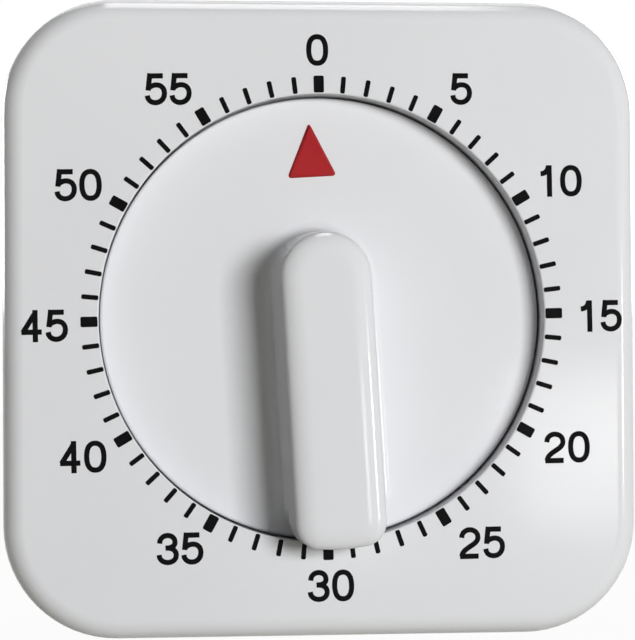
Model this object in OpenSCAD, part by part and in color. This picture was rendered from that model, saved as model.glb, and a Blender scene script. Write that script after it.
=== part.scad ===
// Mechanical kitchen timer: square plastic case, recessed turning dial with a
// grip bar, and a wound clockwork movement that rings a bell after 60 minutes.
// Everything is built lying on its back, axis towards the viewer, and is then
// stood upright so that 12 o'clock points up and the dial faces the front.

/* [Case] */
// Width and height of the square case
case_w = 70; // [68:0.5:90]
// Corner radius seen from the front
corner_r = 12.4; // [9:0.1:14]
// Rounding of the front edge
front_edge_r = 2.3; // [2.2:0.1:5]
// Rounding of the rear cover's edge
rear_edge_r = 2.5; // [1:0.1:3]
// Wall of the case
wall = 2; // [1.6:0.1:2.4]
// Depth of the rear cover up to the parting line
cover_depth = 5; // [4.6:0.1:6]
// Height of the lip that locates the cover in the case
lip_h = 1.5; // [1:0.1:2]
// Thickness of that lip
lip_t = 1.2; // [0.8:0.1:1.6]
// Play between lip and case
lip_gap = 0.15; // [0.05:0.05:0.3]
// Number of sound slots under the bell
slot_count = 5; // [3:1:7]
// Width of a sound slot
slot_w = 1.4; // [1:0.1:2]
// Length of a sound slot
slot_len = 8; // [6:0.5:9]
// Distance from one sound slot to the next
slot_pitch = 3.4; // [2.8:0.1:4]
// Distance of the sound slots from the magnet
slot_gap = 3.5; // [2.5:0.1:4.5]

/* [Case screws] */
// Distance of a corner screw from the two sides
screw_inset = 9.5; // [9:0.1:10.5]
// Radius of the screw's shank
screw_r = 1.2; // [1:0.05:1.4]
// Radius of the screw's head
screw_head_r = 2.3; // [1.9:0.05:2.5]
// Height of the screw's head
screw_head_h = 1.6; // [1.2:0.1:1.8]
// Depth of the head below the rear face
screw_sink = 0.5; // [0.2:0.1:0.8]
// Length of the screw under its head
screw_len = 11; // [8:0.5:14]
// Room left past a screw's end
screw_end_gap = 2; // [1:0.5:3]
// Wall round a screw in its post
post_wall = 1.8; // [1.4:0.1:2.2]
// Wall round a sunk screw head in the cover
boss_wall = 1.2; // [1:0.1:1.6]
// Play round a screw in the cover
screw_play = 0.15; // [0.1:0.05:0.3]
// Play round a sunk screw head
head_play = 0.25; // [0.15:0.05:0.4]

/* [Rear magnet] */
// Radius of the round magnet
magnet_r = 9; // [7:0.1:9.5]
// Thickness of the magnet
magnet_t = 3; // [2:0.1:3.5]
// Bevel of the magnet's rear edge
magnet_bevel = 0.4; // [0.2:0.1:0.6]
// Depth of the magnet below the rear face
magnet_sink = 0.2; // [0.1:0.05:0.4]
// Plastic between magnet and movement
magnet_skin = 1.2; // [1:0.1:1.6]
// Wall of the magnet's cup
magnet_wall = 1.4; // [1:0.1:1.8]

/* [Dial] */
// Radius of the round well in the case front
well_r = 24.6; // [22:0.1:25.2]
// Wall of the well
well_wall = 1.6; // [1.2:0.1:1.8]
// Floor of the well
well_floor = 1.5; // [1.2:0.1:2]
// Rounding of the well's front edge
well_edge_r = 0.2; // [0.2:0.1:0.8]
// Play round the arbor's clip in the well's floor
spindle_play = 0.5; // [0.3:0.1:0.8]
// Gap between the dial's rim and the well
dial_gap = 0.2; // [0.15:0.05:0.8]
// Gap between the dial and the well's floor
dial_lift = 0.5; // [0.3:0.05:0.8]
// Depth of the dial's face below the case front
dial_recess = 3; // [2:0.1:4]
// Height of the dial's rim
dial_rim_h = 2.6; // [2:0.1:3.4]
// Thickness of the dial's face and of its rim
dial_t = 1.5; // [1.2:0.1:1.8]
// Rounding of the dial's front edge
dial_edge_r = 0.4; // [0.2:0.1:1.5]
// Radius of the hub under the dial
dial_hub_r = 4.5; // [3.5:0.1:5.5]
// Angle that the pointer rests short of zero
dial_rest = 3.2; // [0:0.1:4]

/* [Grip bar] */
// Width of the bar at its top
bar_w = 9.7; // [8:0.1:11]
// Height of the bar above the case front
bar_rise = 6.4; // [4:0.1:9]
// Distance of the round end from the dial's axis
bar_end = 9.1; // [8:0.1:12]
// Depth of the bar's foot in the dial
bar_sink = 0.5; // [0.3:0.1:0.8]
// Widening of each side from top to base
bar_draft = 0.6; // [0.2:0.1:1]
// Width of the long rounding along the top edge
bar_edge_w = 2.4; // [1:0.1:2.6]
// Height of that rounding
bar_edge_h = 1.2; // [0.6:0.1:1.8]
// Hollow fillet where the bar meets the dial
bar_fillet = 1.1; // [0.6:0.1:1.8]
// Rounding of the tail's corners
bar_corner_r = 2.6; // [1.6:0.1:3.2]
// Reach of the tail past the well's edge
tail_over = 0.5; // [0.4:0.1:1.6]
// Distance of the tail's foot from the dial's rounded edge
tail_foot_in = 0.3; // [0.2:0.1:0.8]
// Gap between the tail's underside and the case front
tail_gap = 0.5; // [0.3:0.1:1]

/* [Pointer mark] */
// Width of the triangle at its base
mark_w = 5.3; // [3:0.1:7]
// Height of the triangle
mark_h = 5.7; // [4:0.1:7]
// Distance of the triangle's tip from the dial's rim
mark_inset = 3.0; // [1.8:0.05:4]
// Thickness of the triangle
mark_t = 0.25; // [0.15:0.05:0.5]

/* [Movement frame] */
// Thickness of the two plates
plate_t = 0.8; // [0.6:0.05:1.2]
// Metal left round the outermost pillar
plate_margin = 1; // [0.6:0.1:1.6]
// Gap between the plates and the corner posts
corner_gap = 0.4; // [0.3:0.1:0.8]
// Radius of the round windows in the plates
window_r = 4.5; // [3.5:0.1:5]
// Distance of those windows from the main arbor
window_at = 18.6; // [18:0.1:19.5]
// Radius of the posts that carry the movement
mount_post_r = 2.3; // [2:0.1:2.5]
// Gap between those posts and the well
mount_post_gap = 0.4; // [0.2:0.1:0.8]
// Direction of the first of those posts
mount_post_dir = 30; // [26:1:34]
// Radius of the ears on the front plate
ear_r = 2.9; // [2.6:0.1:3]
// Width of the arm that carries an ear
ear_w = 4.8; // [4:0.1:5]
// Play round a movement screw in its ear
ear_play = 0.1; // [0.05:0.05:0.2]
// Shank radius of a movement screw
mount_screw_r = 0.9; // [0.7:0.05:1.1]
// Head radius of a movement screw
mount_head_r = 1.8; // [1.5:0.05:2]
// Head height of a movement screw
mount_head_h = 1; // [0.7:0.1:1.2]
// Length of a movement screw under its head
mount_screw_len = 5; // [4:0.5:6]
// Room left past a movement screw's end
mount_end_gap = 0.5; // [0.3:0.1:1]

/* [Pillars] */
// Radius of a pillar
pillar_r = 1.6; // [1.3:0.05:1.8]
// Radius of a pillar's riveted and threaded ends
stud_r = 0.9; // [0.7:0.05:1]
// Stud left past its nut
stud_end = 0.2; // [0.1:0.05:0.4]
// Width across the flats of a pillar nut
nut_w = 3.6; // [3:0.1:4]
// Height of a pillar nut
nut_h = 1.2; // [0.8:0.1:1.4]
// Clear space between a pillar and the wheels
pillar_gap = 1.1; // [0.8:0.1:1.4]
// Direction of the upper pillar from the hammer arbor
upper_pillar_dir = 75; // [70:1:80]
// Room for the hammer's levers beside the upper pillar
upper_pillar_out = 6.8; // [6:0.1:8]
// Direction of the right pillar from the main arbor
right_pillar_dir = -4; // [-10:1:0]
// Room between the main wheel and the right pillar
right_pillar_out = 8.5; // [7:0.1:9]
// Direction of the lower pillar from the balance staff
lower_pillar_dir = 246; // [240:1:250]
// Direction of the left pillar from the third arbor
left_pillar_dir = 117; // [112:1:122]

/* [Levels] */
// Gap between bell and rear plate
bell_gap = 0.4; // [0.3:0.1:0.8]
// Gap between two neighbouring levels
level_gap = 0.3; // [0.25:0.05:0.6]
// Gap between front plate and the topmost wheel
front_gap = 0.9; // [0.8:0.1:1.4]
// Gap between front plate and the well's floor
well_gap = 0.5; // [0.4:0.1:1.5]
// Thickness of cam, wheels and levers
wheel_t = 0.8; // [0.6:0.05:1]
// Running play round a pivot
run_fit = 0.05; // [0.03:0.01:0.08]
// Play of a pressed or screwed fit
seat_fit = 0.015; // [0.01:0.005:0.03]
// Radius of the small pivots
pivot_r = 0.5; // [0.4:0.05:0.55]
// Radius of the train's arbors
arbor_r = 0.8; // [0.7:0.05:0.9]

/* [Going train] */
// Leaves of each pinion
leaves = 8; // [8:1:10]
// Teeth of the main wheel
main_teeth = 72; // [66:1:76]
// Tooth size of the main wheel
main_module = 0.36; // [0.34:0.005:0.38]
// Teeth of the second wheel
second_teeth = 72; // [66:1:74]
// Tooth size of the second wheel
second_module = 0.30; // [0.28:0.005:0.31]
// Teeth of the third wheel
third_teeth = 64; // [58:1:66]
// Tooth size of the third wheel
third_module = 0.28; // [0.26:0.005:0.29]
// Windows in each wheel
wheel_windows = 5; // [4:1:5]
// Metal left round a wheel's bore
hub_w = 2.3; // [2:0.1:2.6]
// Metal left under a wheel's teeth
rim_w = 1.6; // [1.2:0.1:2]
// Direction from main to second arbor
second_dir = 125; // [120:1:130]
// Direction from second to third arbor
third_dir = 225; // [221:1:229]
// Direction from third to escape arbor
escape_dir = 285; // [281:1:289]
// Direction from escape arbor to balance staff
balance_dir = 310; // [306:1:314]

/* [Main arbor] */
// Radius of the main arbor
main_r = 1.6; // [1.4:0.05:1.8]
// Radius of its rear pivot
main_pivot_r = 1.1; // [0.9:0.05:1.3]
// Radius of its collet inside the spring
collet_r = 2.5; // [2.2:0.1:2.8]
// Width across the two flats that drive the dial
flat_w = 2.5; // [2.1:0.1:2.6]
// Depth of the arbor in the dial above the dial's face
arbor_reach = 5.5; // [4:0.1:6.5]
// Room past the arbor's end in the dial
arbor_end_gap = 0.2; // [0.1:0.1:0.5]
// Radius of the release cam
cam_r = 7; // [6:0.1:7.3]
// Width of the cam's notch
cam_notch_w = 2.6; // [2:0.1:3.4]
// Depth of the cam's notch
cam_notch_d = 2; // [1.4:0.1:2.6]
// Radius of the clutch washer
washer_r = 2.4; // [2.2:0.1:2.6]
// Height of the clutch washer
washer_h = 0.35; // [0.25:0.05:0.45]
// Part of that height that its dish takes up
washer_dish = 0.15; // [0.05:0.05:0.2]
// Radius of the collar over the clutch
collar_r = 2.7; // [2.4:0.1:2.9]
// Height of that collar
collar_h = 0.6; // [0.5:0.05:0.7]
// Outer radius of the retaining clip
clip_r = 2.9; // [2.5:0.1:3]
// Thickness of the retaining clip
clip_t = 0.4; // [0.3:0.05:0.5]
// Mouth of the retaining clip
clip_mouth = 2; // [1.8:0.1:2.2]
// Depth of the clip's groove in the arbor
groove_d = 0.35; // [0.25:0.05:0.45]

/* [Mainspring] */
// Width of the spring strip
spring_h = 2.4; // [2:0.1:3]
// Thickness of the spring strip
spring_t = 0.35; // [0.25:0.05:0.45]
// Outer radius of the coils
spring_r = 9.4; // [8.5:0.1:9.7]
// Number of coils
spring_turns = 5; // [4:1:6]
// Clear space between spring and collet
spring_gap = 0.4; // [0.3:0.05:0.6]
// Radius of the post that holds the outer end
spring_post_r = 0.8; // [0.6:0.05:1]
// Radius of that post's shoulder
spring_shoulder_r = 1.3; // [1.1:0.05:1.5]

/* [Escapement] */
// Number of escape wheel teeth
escape_teeth = 15; // [12:1:18]
// Radius of the escape wheel
escape_r = 5; // [4.4:0.1:5.4]
// Height of an escape wheel tooth
escape_tooth_h = 1.3; // [1:0.1:1.6]
// Metal left on both sides of the escape wheel's windows
escape_rim_w = 0.5; // [0.4:0.05:0.6]
// Radius of the escape arbor
escape_arbor_r = 0.7; // [0.6:0.05:0.75]
// Outer radius of the balance wheel
balance_r = 7.4; // [6.8:0.1:7.8]
// Width of the balance wheel's rim
balance_rim_w = 1.4; // [1:0.1:1.8]
// Height of the balance wheel's rim
balance_h = 1.2; // [0.9:0.1:1.4]
// Radius of the balance wheel's hub
balance_hub_r = 1.9; // [1.6:0.1:2.2]
// Width of the balance wheel's spokes
spoke_w = 1.6; // [1.2:0.1:2]
// Thickness of the balance wheel's spokes
spoke_t = 0.6; // [0.4:0.05:0.7]
// Gap between balance wheel and escape arbor
balance_gap = 0.4; // [0.3:0.05:0.6]
// Gap between the pallet pins and the escape wheel
pallet_gap = 0.3; // [0.2:0.05:0.4]
// Reach of the pallet pins inside the tips of the escape wheel
pallet_reach = 0.9; // [0.7:0.1:1.1]
// Angle of each pallet arm from the line of centres
pallet_spread = 28; // [24:1:32]
// Thickness of the anchor
pallet_t = 0.6; // [0.5:0.05:0.7]
// Width of the anchor's arms
pallet_arm_w = 1.2; // [1:0.05:1.3]
// Radius of the anchor's arm ends
pallet_end_r = 0.75; // [0.7:0.05:0.85]
// Metal of the anchor round the balance staff
pallet_hub_w = 0.9; // [0.7:0.1:1.1]
// Radius of a pallet pin
pallet_pin_r = 0.3; // [0.25:0.05:0.4]
// Length of a pallet pin under the anchor
pallet_pin_h = 0.2; // [0.1:0.05:0.25]

/* [Bell] */
// Radius of the bell
bell_r = 15; // [13:0.1:15.5]
// Height of the bell
bell_h = 4.4; // [4.1:0.1:5.2]
// Thickness of the bell metal
bell_t = 0.7; // [0.5:0.05:0.9]
// Radius of the bell's flat crown
bell_crown_r = 5.25; // [4.5:0.05:6]
// Sideways place of the bell
bell_x = 4; // [2:0.1:5]
// Upward place of the bell
bell_y = -9; // [-10:0.1:-8]
// Radius of the bell post
bell_post_r = 1.7; // [1.4:0.05:2]
// Radius of the bell post's threaded end
bell_stud_r = 1; // [0.8:0.05:1.2]
// Width across the flats of the bell nut
bell_nut_w = 4.4; // [4:0.1:5]
// Height of the bell nut
bell_nut_h = 1.5; // [1.2:0.1:1.8]

/* [Hammer] */
// Gap between second wheel and hammer arbor
hammer_gap = 0.3; // [0.2:0.05:0.6]
// Direction from second arbor to hammer arbor
hammer_dir = 10; // [8:1:14]
// Direction from the bell's axis to the hammer head
strike_dir = 60; // [56:1:64]
// Gap between hammer head and bell at rest
strike_gap = 0.75; // [0.7:0.05:1.2]
// Radius of the hammer head
hammer_head_r = 2; // [1.6:0.1:2.4]
// Height of the hammer head
hammer_head_h = 2.4; // [2:0.1:2.8]
// Bevel of the hammer head
hammer_bevel = 0.4; // [0.2:0.1:0.6]
// Radius of the hammer head's rivet
rivet_r = 0.6; // [0.5:0.05:0.7]
// Width of the hammer's levers
lever_w = 1.8; // [1.4:0.1:2]
// Swell of a lever's round end past its arm
lever_swell = 0.15; // [0.1:0.05:0.2]
// Metal of a lever round its arbor
lever_hub_w = 1.1; // [0.9:0.1:1.3]
// Gap between release finger and cam at rest
finger_gap = 0.65; // [0.6:0.05:1]
// Points of the strike star
star_points = 8; // [6:1:10]
// Radius of the strike star
star_r = 3.6; // [3:0.1:3.8]
// Radius between the star's points
star_root_r = 2.2; // [2:0.05:2.4]
// Gap between strike lever and star at rest
star_gap = 0.4; // [0.35:0.05:0.6]
// Angle of the strike lever's tip from the line to the hammer arbor
strike_turn = 14; // [12:1:16]

/* [Hidden] */
$fn = 64;
fine_fn = 128;
eps = 0.01;
// Overshoot of a cut past the face that it opens
over = 1;
arc_steps = 6;
corner_steps = 4;
// Least rounding of an inner edge
inner_round = 0.2;
bell_steps = 10;
spring_steps = 20;

// Tooth form, in tooth sizes
pressure_angle = 20;
addendum = 1;
dedendum = 1.25;
tooth_shift = 0.5;
tooth_play = 0.2;
pinion_trim = 0.25;

// Escape tooth, in shares of the pitch: rise, tip and drop
escape_rise = 0.55;
escape_tip = 0.13;
escape_drop = 0.04;

// Cross recess of a screw, in shares of its head
drive_w = 0.3;
drive_len = 1.2;
drive_depth = 0.5;

// Places of the windows in the plates
window_dirs = [-60, -25];

function polar(r, a) = [r * cos(a), r * sin(a)];
function angle_of(v) = atan2(v[1], v[0]);
function arc(c, r, a0, a1, n = arc_steps) = [for (i = [0 : n]) c + polar(r, a0 + (a1 - a0) * i / n)];

// Levels from the rear face to the front, each resting on the one before
magnet_top = magnet_sink + magnet_t;
bell_nut_z = magnet_top + magnet_skin + level_gap;
bell_crown_z = bell_nut_z + bell_nut_h;
bell_rim_z = bell_crown_z + bell_h;
rear_plate_z = bell_rim_z + bell_gap;
rear_plate_top = rear_plate_z + plate_t;
cam_z = rear_plate_top + level_gap;
spring_z = cam_z + wheel_t + level_gap;
spring_top = spring_z + spring_h;
star_z = spring_z + level_gap;
escape_z = star_z;
pallet_z = escape_z + wheel_t + pallet_gap + pallet_pin_h;
main_z = spring_top + level_gap;
main_top = main_z + wheel_t;
collar_z = main_top + 2 * run_fit + washer_h;
second_z = collar_z + collar_h + level_gap;
front_plate_z = second_z + wheel_t + front_gap;
front_plate_top = front_plate_z + plate_t;
clip_z = front_plate_top + 2 * run_fit;
well_floor_z = front_plate_top + well_gap;
well_floor_top = well_floor_z + well_floor;
dial_z = well_floor_top + dial_lift;
dial_face_z = dial_z + dial_rim_h;
case_depth = dial_face_z + dial_recess;
total_depth = case_depth + bar_rise;
arbor_top_z = dial_face_z + arbor_reach;
balance_z = front_plate_z - level_gap - run_fit - balance_h - wheel_t;
hammer_arm_z = rear_plate_z - level_gap - wheel_t;

// Wheel sizes
function tip_r(teeth, m, shift) = m * (teeth / 2 + addendum + shift);
function root_r(teeth, m, shift) = m * (teeth / 2 - dedendum + shift);
main_tip = tip_r(main_teeth, main_module, -tooth_shift);
second_tip = tip_r(second_teeth, second_module, -tooth_shift);
third_tip = tip_r(third_teeth, third_module, -tooth_shift);

// Arbor places, each at its centre distance from the one that drives it
balance_reach = balance_r + balance_gap + escape_arbor_r;
hammer_reach = second_tip + hammer_gap + arbor_r;
second_at = polar((main_teeth + leaves) * main_module / 2, second_dir);
third_at = second_at + polar((second_teeth + leaves) * second_module / 2, third_dir);
escape_at = third_at + polar((third_teeth + leaves) * third_module / 2, escape_dir);
balance_at = escape_at + polar(balance_reach, balance_dir);
hammer_at = second_at + polar(hammer_reach, hammer_dir);
bell_at = [bell_x, bell_y];
head_at = bell_at + polar(bell_r + strike_gap + hammer_head_r, strike_dir);
spring_eye_r = spring_post_r + seat_fit;
spring_post_at = [spring_r + spring_eye_r, 0];

// The release finger stands square to the cam's radius
lever_end_r = lever_w / 2 + lever_swell;
finger_r = cam_r + finger_gap + lever_end_r;
finger_dir = angle_of(hammer_at) - acos(finger_r / norm(hammer_at));
finger_at = polar(finger_r, finger_dir);

// Pillars stand clear of the wheel that is nearest to each
pillar_space = pillar_r + pillar_gap;
pillars = [
    hammer_at + polar(upper_pillar_out + pillar_space, upper_pillar_dir),
    polar(main_tip + right_pillar_out + pillar_space, right_pillar_dir),
    balance_at + polar(balance_r + pillar_space, lower_pillar_dir),
    third_at + polar(third_tip + pillar_space, left_pillar_dir)
];
plate_r = max([for (p = pillars) norm(p)]) + pillar_r + plate_margin;

// Case screws and the posts that carry the movement
screw_at = case_w / 2 - screw_inset;
post_r = screw_r + post_wall;
screw_seat_z = screw_sink + screw_head_h;
head_hole_r = screw_head_r + head_play;
mount_r = well_r + well_wall + mount_post_gap + mount_post_r;
cover_inset = wall + lip_gap + lip_t;
dial_r = well_r - dial_gap;

white_plastic = [0.86, 0.87, 0.88];
brass = [0.83, 0.68, 0.35];
steel = [0.70, 0.71, 0.73];
dark_steel = [0.42, 0.43, 0.45];
pointer_red = [0.66, 0.14, 0.16];

// Stands the timer on its lower side, dial to the front
module upright() {
    translate([0, total_depth / 2, case_w / 2]) rotate([90, 0, 0]) children();
}

// Puts a shape on an arbor at a level
module at(place, z) {
    translate([place[0], place[1], z]) children();
}

// A hole right through a plate of thickness h that lies on z = 0
module bore(r, h) {
    translate([0, 0, -eps]) cylinder(r = r, h = h + 2 * eps);
}

// A ring or disc with a bore
module ring(r, hole, h) {
    difference() {
        cylinder(r = r, h = h);
        bore(hole, h);
    }
}

// A hexagon nut with a bore
module hex_nut(across, hole, h) {
    difference() {
        cylinder(r = across / 2 / cos(30), h = h, $fn = 6);
        bore(hole, h);
    }
}

// A shaft with two flats, or the hole for it
module flatted(r, across, h) {
    intersection() {
        cylinder(r = r, h = h);
        translate([-r - over, -across / 2, -over]) cube([2 * (r + over), across, h + 2 * over]);
    }
}

// Half section of a block with rounded rear and front edges
function block_section(r, z0, z1, rear_r, front_r) = concat(
    [[0, z0]],
    rear_r > 0 ? arc([r - rear_r, z0 + rear_r], rear_r, -90, 0) : [[r, z0]],
    front_r > 0 ? arc([r - front_r, z1 - front_r], front_r, 0, 90) : [[r, z1]],
    [[0, z1]]
);

// A rounded square block: four turned corners, four straight sides and the middle
module rounded_block(w, r, z0, z1, rear_r = 0, front_r = 0) {
    run = w - 2 * r;
    section = block_section(r, z0, z1, rear_r, front_r);
    for (side = [0 : 3])
        rotate(90 * side) translate([run / 2, run / 2, 0]) {
            rotate_extrude(angle = 90) polygon(section);
            rotate([90, 0, 0]) linear_extrude(run) polygon(section);
        }
    translate([-run / 2, -run / 2, z0]) cube([run, run, z1 - z0]);
}

module at_corners() {
    for (x = [-1, 1], y = [-1, 1]) translate([x * screw_at, y * screw_at, 0]) children();
}

module at_mount_posts() {
    for (side = [0 : 3]) rotate(mount_post_dir + 90 * side) translate([mount_r, 0, 0]) children();
}

// Half angle of a tooth at radius r, from the involute of its base circle
function involute(a) = tan(a) * 180 / PI - a;
function tooth_half(teeth, m, shift, r) =
    let (base = m * teeth / 2 * cos(pressure_angle),
         at_pitch = (PI / 2 + 2 * shift * tan(pressure_angle) - tooth_play) / teeth * 180 / PI)
    at_pitch + involute(pressure_angle) - (r > base ? involute(acos(base / r)) : 0);

// Outline of a gear, one tooth on the +X axis
function gear_outline(teeth, m, shift, root, tip) =
    let (base = m * teeth / 2 * cos(pressure_angle),
         foot = max(root, base),
         radii = concat(root < base ? [root] : [], [foot, (foot + tip) / 2, tip]),
         last = len(radii) - 1)
    [for (i = [0 : teeth - 1]) for (k = [0 : 2 * last + 1])
        let (r = radii[k <= last ? k : 2 * last + 1 - k],
             side = k <= last ? -1 : 1)
        polar(r, i * 360 / teeth + side * tooth_half(teeth, m, shift, r))];

// Round windows between a wheel's hub and its rim
module wheel_openings(count, hub, rim) {
    for (i = [0 : count - 1])
        rotate((i + 0.5) * 360 / count) translate([(hub + rim) / 2, 0, 0]) bore((rim - hub) / 2, wheel_t);
}

// A wheel with crossed-out windows, one tooth towards the pinion that it drives
module wheel(teeth, m, towards, hole) {
    root = root_r(teeth, m, -tooth_shift);
    rotate(towards) difference() {
        linear_extrude(wheel_t)
            polygon(gear_outline(teeth, m, -tooth_shift, root, tip_r(teeth, m, -tooth_shift)));
        bore(hole, wheel_t);
        wheel_openings(wheel_windows, hole + hub_w, root - rim_w);
    }
}

// A pinion cut on its arbor, one gap towards the wheel that drives it
module pinion(m, towards, h) {
    tip = tip_r(leaves, m, tooth_shift) - pinion_trim * m;
    rotate(towards + 180 / leaves) linear_extrude(h)
        polygon(gear_outline(leaves, m, tooth_shift, root_r(leaves, m, tooth_shift), tip));
}

// An arbor between the plates, with a small pivot at each end
module arbor(r) {
    pivot_h = plate_t + run_fit + eps;
    translate([0, 0, rear_plate_z]) cylinder(r = pivot_r, h = pivot_h);
    translate([0, 0, rear_plate_top + run_fit])
        cylinder(r = r, h = front_plate_z - rear_plate_top - 2 * run_fit);
    translate([0, 0, front_plate_top - pivot_h]) cylinder(r = pivot_r, h = pivot_h);
}

// A flat lever of the hammer: bored boss on its arbor, straight arm and round end
module lever(to) {
    reach = norm(to - hammer_at);
    hole = arbor_r + seat_fit;
    difference() {
        union() {
            at(hammer_at, 0) cylinder(r = hole + lever_hub_w, h = wheel_t);
            at(hammer_at, 0) rotate(angle_of(to - hammer_at)) translate([0, -lever_w / 2, 0])
                cube([reach, lever_w, wheel_t]);
            at(to, 0) cylinder(r = lever_end_r, h = wheel_t);
        }
        at(hammer_at, 0) bore(hole, wheel_t);
    }
}

// A pan-head screw pointing to the front, its head's seat at z = 0
module pan_screw(r, head_r, head_h, length) {
    difference() {
        union() {
            translate([0, 0, -head_h]) cylinder(r = head_r, h = head_h);
            translate([0, 0, -eps]) cylinder(r = r, h = length + eps);
        }
        for (turn = [0, 90])
            rotate(turn) translate([-drive_len * head_r / 2, -drive_w * head_r / 2, -head_h - eps])
                cube([drive_len * head_r, drive_w * head_r, drive_depth * head_h]);
    }
}

// Front half of the case, with the dial's well and the posts for screws and movement
module front_case() {
    post_top = case_depth - wall / 2;
    color(white_plastic) upright() difference() {
        union() {
            difference() {
                rounded_block(case_w, corner_r, cover_depth, case_depth, front_r = front_edge_r);
                rounded_block(case_w - 2 * wall, corner_r - wall, cover_depth - over, case_depth - wall,
                              front_r = max(front_edge_r - wall, inner_round));
            }
            translate([0, 0, well_floor_z])
                cylinder(r = well_r + well_wall, h = post_top - well_floor_z, $fn = fine_fn);
            at_corners() translate([0, 0, cover_depth]) cylinder(r = post_r, h = post_top - cover_depth);
            at_mount_posts() translate([0, 0, front_plate_top])
                cylinder(r = mount_post_r, h = post_top - front_plate_top);
        }
        rotate_extrude($fn = fine_fn) polygon(concat(
            [[0, well_floor_top], [well_r, well_floor_top]],
            arc([well_r + well_edge_r, case_depth - well_edge_r], well_edge_r, 180, 90),
            [[well_r + well_edge_r, case_depth + over], [0, case_depth + over]]
        ));
        translate([0, 0, well_floor_z]) bore(clip_r + spindle_play, well_floor + over);
        at_corners() translate([0, 0, cover_depth])
            bore(screw_r + seat_fit, screw_seat_z + screw_len + screw_end_gap - cover_depth);
        at_mount_posts() translate([0, 0, front_plate_top])
            bore(mount_screw_r + seat_fit, mount_screw_len - plate_t + mount_end_gap);
    }
}

// Rear cover with its locating lip, screw bosses, magnet cup and sound slots
module rear_cover() {
    slots_from = bell_x - ((slot_count - 1) * slot_pitch + slot_w) / 2;
    color(white_plastic) upright() difference() {
        union() {
            difference() {
                union() {
                    rounded_block(case_w, corner_r, 0, cover_depth, rear_r = rear_edge_r);
                    rounded_block(case_w - 2 * (wall + lip_gap), corner_r - wall - lip_gap,
                                  cover_depth - over, cover_depth + lip_h);
                }
                rounded_block(case_w - 2 * cover_inset, corner_r - cover_inset, wall, cover_depth + lip_h + over);
            }
            at_corners() translate([0, 0, wall / 2]) cylinder(r = head_hole_r + boss_wall, h = cover_depth - wall / 2);
            translate([0, 0, wall / 2])
                cylinder(r = magnet_r + magnet_wall, h = magnet_top + magnet_skin - wall / 2);
        }
        bore(magnet_r + seat_fit, magnet_top - eps);
        at_corners() {
            bore(screw_r + screw_play, cover_depth);
            bore(head_hole_r, screw_seat_z - eps);
        }
        for (i = [0 : slot_count - 1])
            translate([slots_from + i * slot_pitch, -magnet_r - slot_gap - slot_len, -over])
                cube([slot_w, slot_len, wall + 2 * over]);
    }
}

// Round magnet held in the rear cover
module rear_magnet() {
    color(dark_steel) upright() translate([0, 0, magnet_sink]) rotate_extrude() polygon([
        [0, 0], [magnet_r - magnet_bevel, 0], [magnet_r, magnet_bevel], [magnet_r, magnet_t], [0, magnet_t]
    ]);
}

// Four screws that hold the rear cover
module case_screws() {
    color(steel) upright() at_corners() translate([0, 0, screw_seat_z])
        pan_screw(screw_r, screw_head_r, screw_head_h, screw_len);
}

// Four screws that hold the movement to the case
module movement_screws() {
    color(steel) upright() at_mount_posts() translate([0, 0, front_plate_z])
        pan_screw(mount_screw_r, mount_head_r, mount_head_h, mount_screw_len);
}

// What is cut alike from both plates: pivot and pillar holes, windows and room for the corner posts
module plate_holes() {
    for (place = [second_at, third_at, escape_at, balance_at]) at(place, 0) bore(pivot_r + run_fit, plate_t);
    for (place = pillars) at(place, 0) bore(stud_r + seat_fit, plate_t);
    for (turn = window_dirs) rotate(turn) translate([window_at, 0, 0]) bore(window_r, plate_t);
    at_corners() bore(post_r + corner_gap, plate_t);
}

// Front plate of the movement, with four ears on the case's posts
module front_plate() {
    color(brass) upright() translate([0, 0, front_plate_z]) difference() {
        union() {
            cylinder(r = plate_r, h = plate_t, $fn = fine_fn);
            at_mount_posts() {
                cylinder(r = ear_r, h = plate_t);
                translate([-mount_r / 2, -ear_w / 2, 0]) cube([mount_r / 2, ear_w, plate_t]);
            }
        }
        bore(main_r + run_fit, plate_t);
        at(hammer_at, 0) bore(pivot_r + run_fit, plate_t);
        plate_holes();
        at_mount_posts() bore(mount_screw_r + ear_play, plate_t);
    }
}

// Rear plate of the movement, which carries bell post and spring post
module rear_plate() {
    color(brass) upright() translate([0, 0, rear_plate_z]) difference() {
        cylinder(r = plate_r, h = plate_t, $fn = fine_fn);
        bore(main_pivot_r + run_fit, plate_t);
        at(hammer_at, 0) bore(arbor_r + run_fit, plate_t);
        plate_holes();
        at(bell_at, 0) bore(bell_stud_r + seat_fit, plate_t);
        at(spring_post_at, 0) bore(spring_post_r + seat_fit, plate_t);
    }
}

// Four pillars: riveted into the front plate, threaded behind the rear plate
module plate_pillars() {
    thread_h = nut_h + stud_end;
    color(steel) upright() for (place = pillars) at(place, 0) union() {
        translate([0, 0, rear_plate_z - thread_h]) cylinder(r = stud_r, h = thread_h + plate_t + eps);
        translate([0, 0, rear_plate_top]) cylinder(r = pillar_r, h = front_plate_z - rear_plate_top);
        translate([0, 0, front_plate_z - eps]) cylinder(r = stud_r, h = plate_t + eps);
    }
}

// Four nuts behind the rear plate
module pillar_nuts() {
    color(steel) upright() for (place = pillars)
        at(place, rear_plate_z - nut_h) hex_nut(nut_w, stud_r + seat_fit, nut_h);
}

// Post that holds the outer end of the mainspring
module spring_post() {
    color(steel) upright() at(spring_post_at, 0) union() {
        translate([0, 0, rear_plate_z]) cylinder(r = spring_post_r, h = spring_top - rear_plate_z);
        translate([0, 0, rear_plate_top])
            cylinder(r = spring_shoulder_r, h = spring_z - rear_plate_top - level_gap);
    }
}

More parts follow.
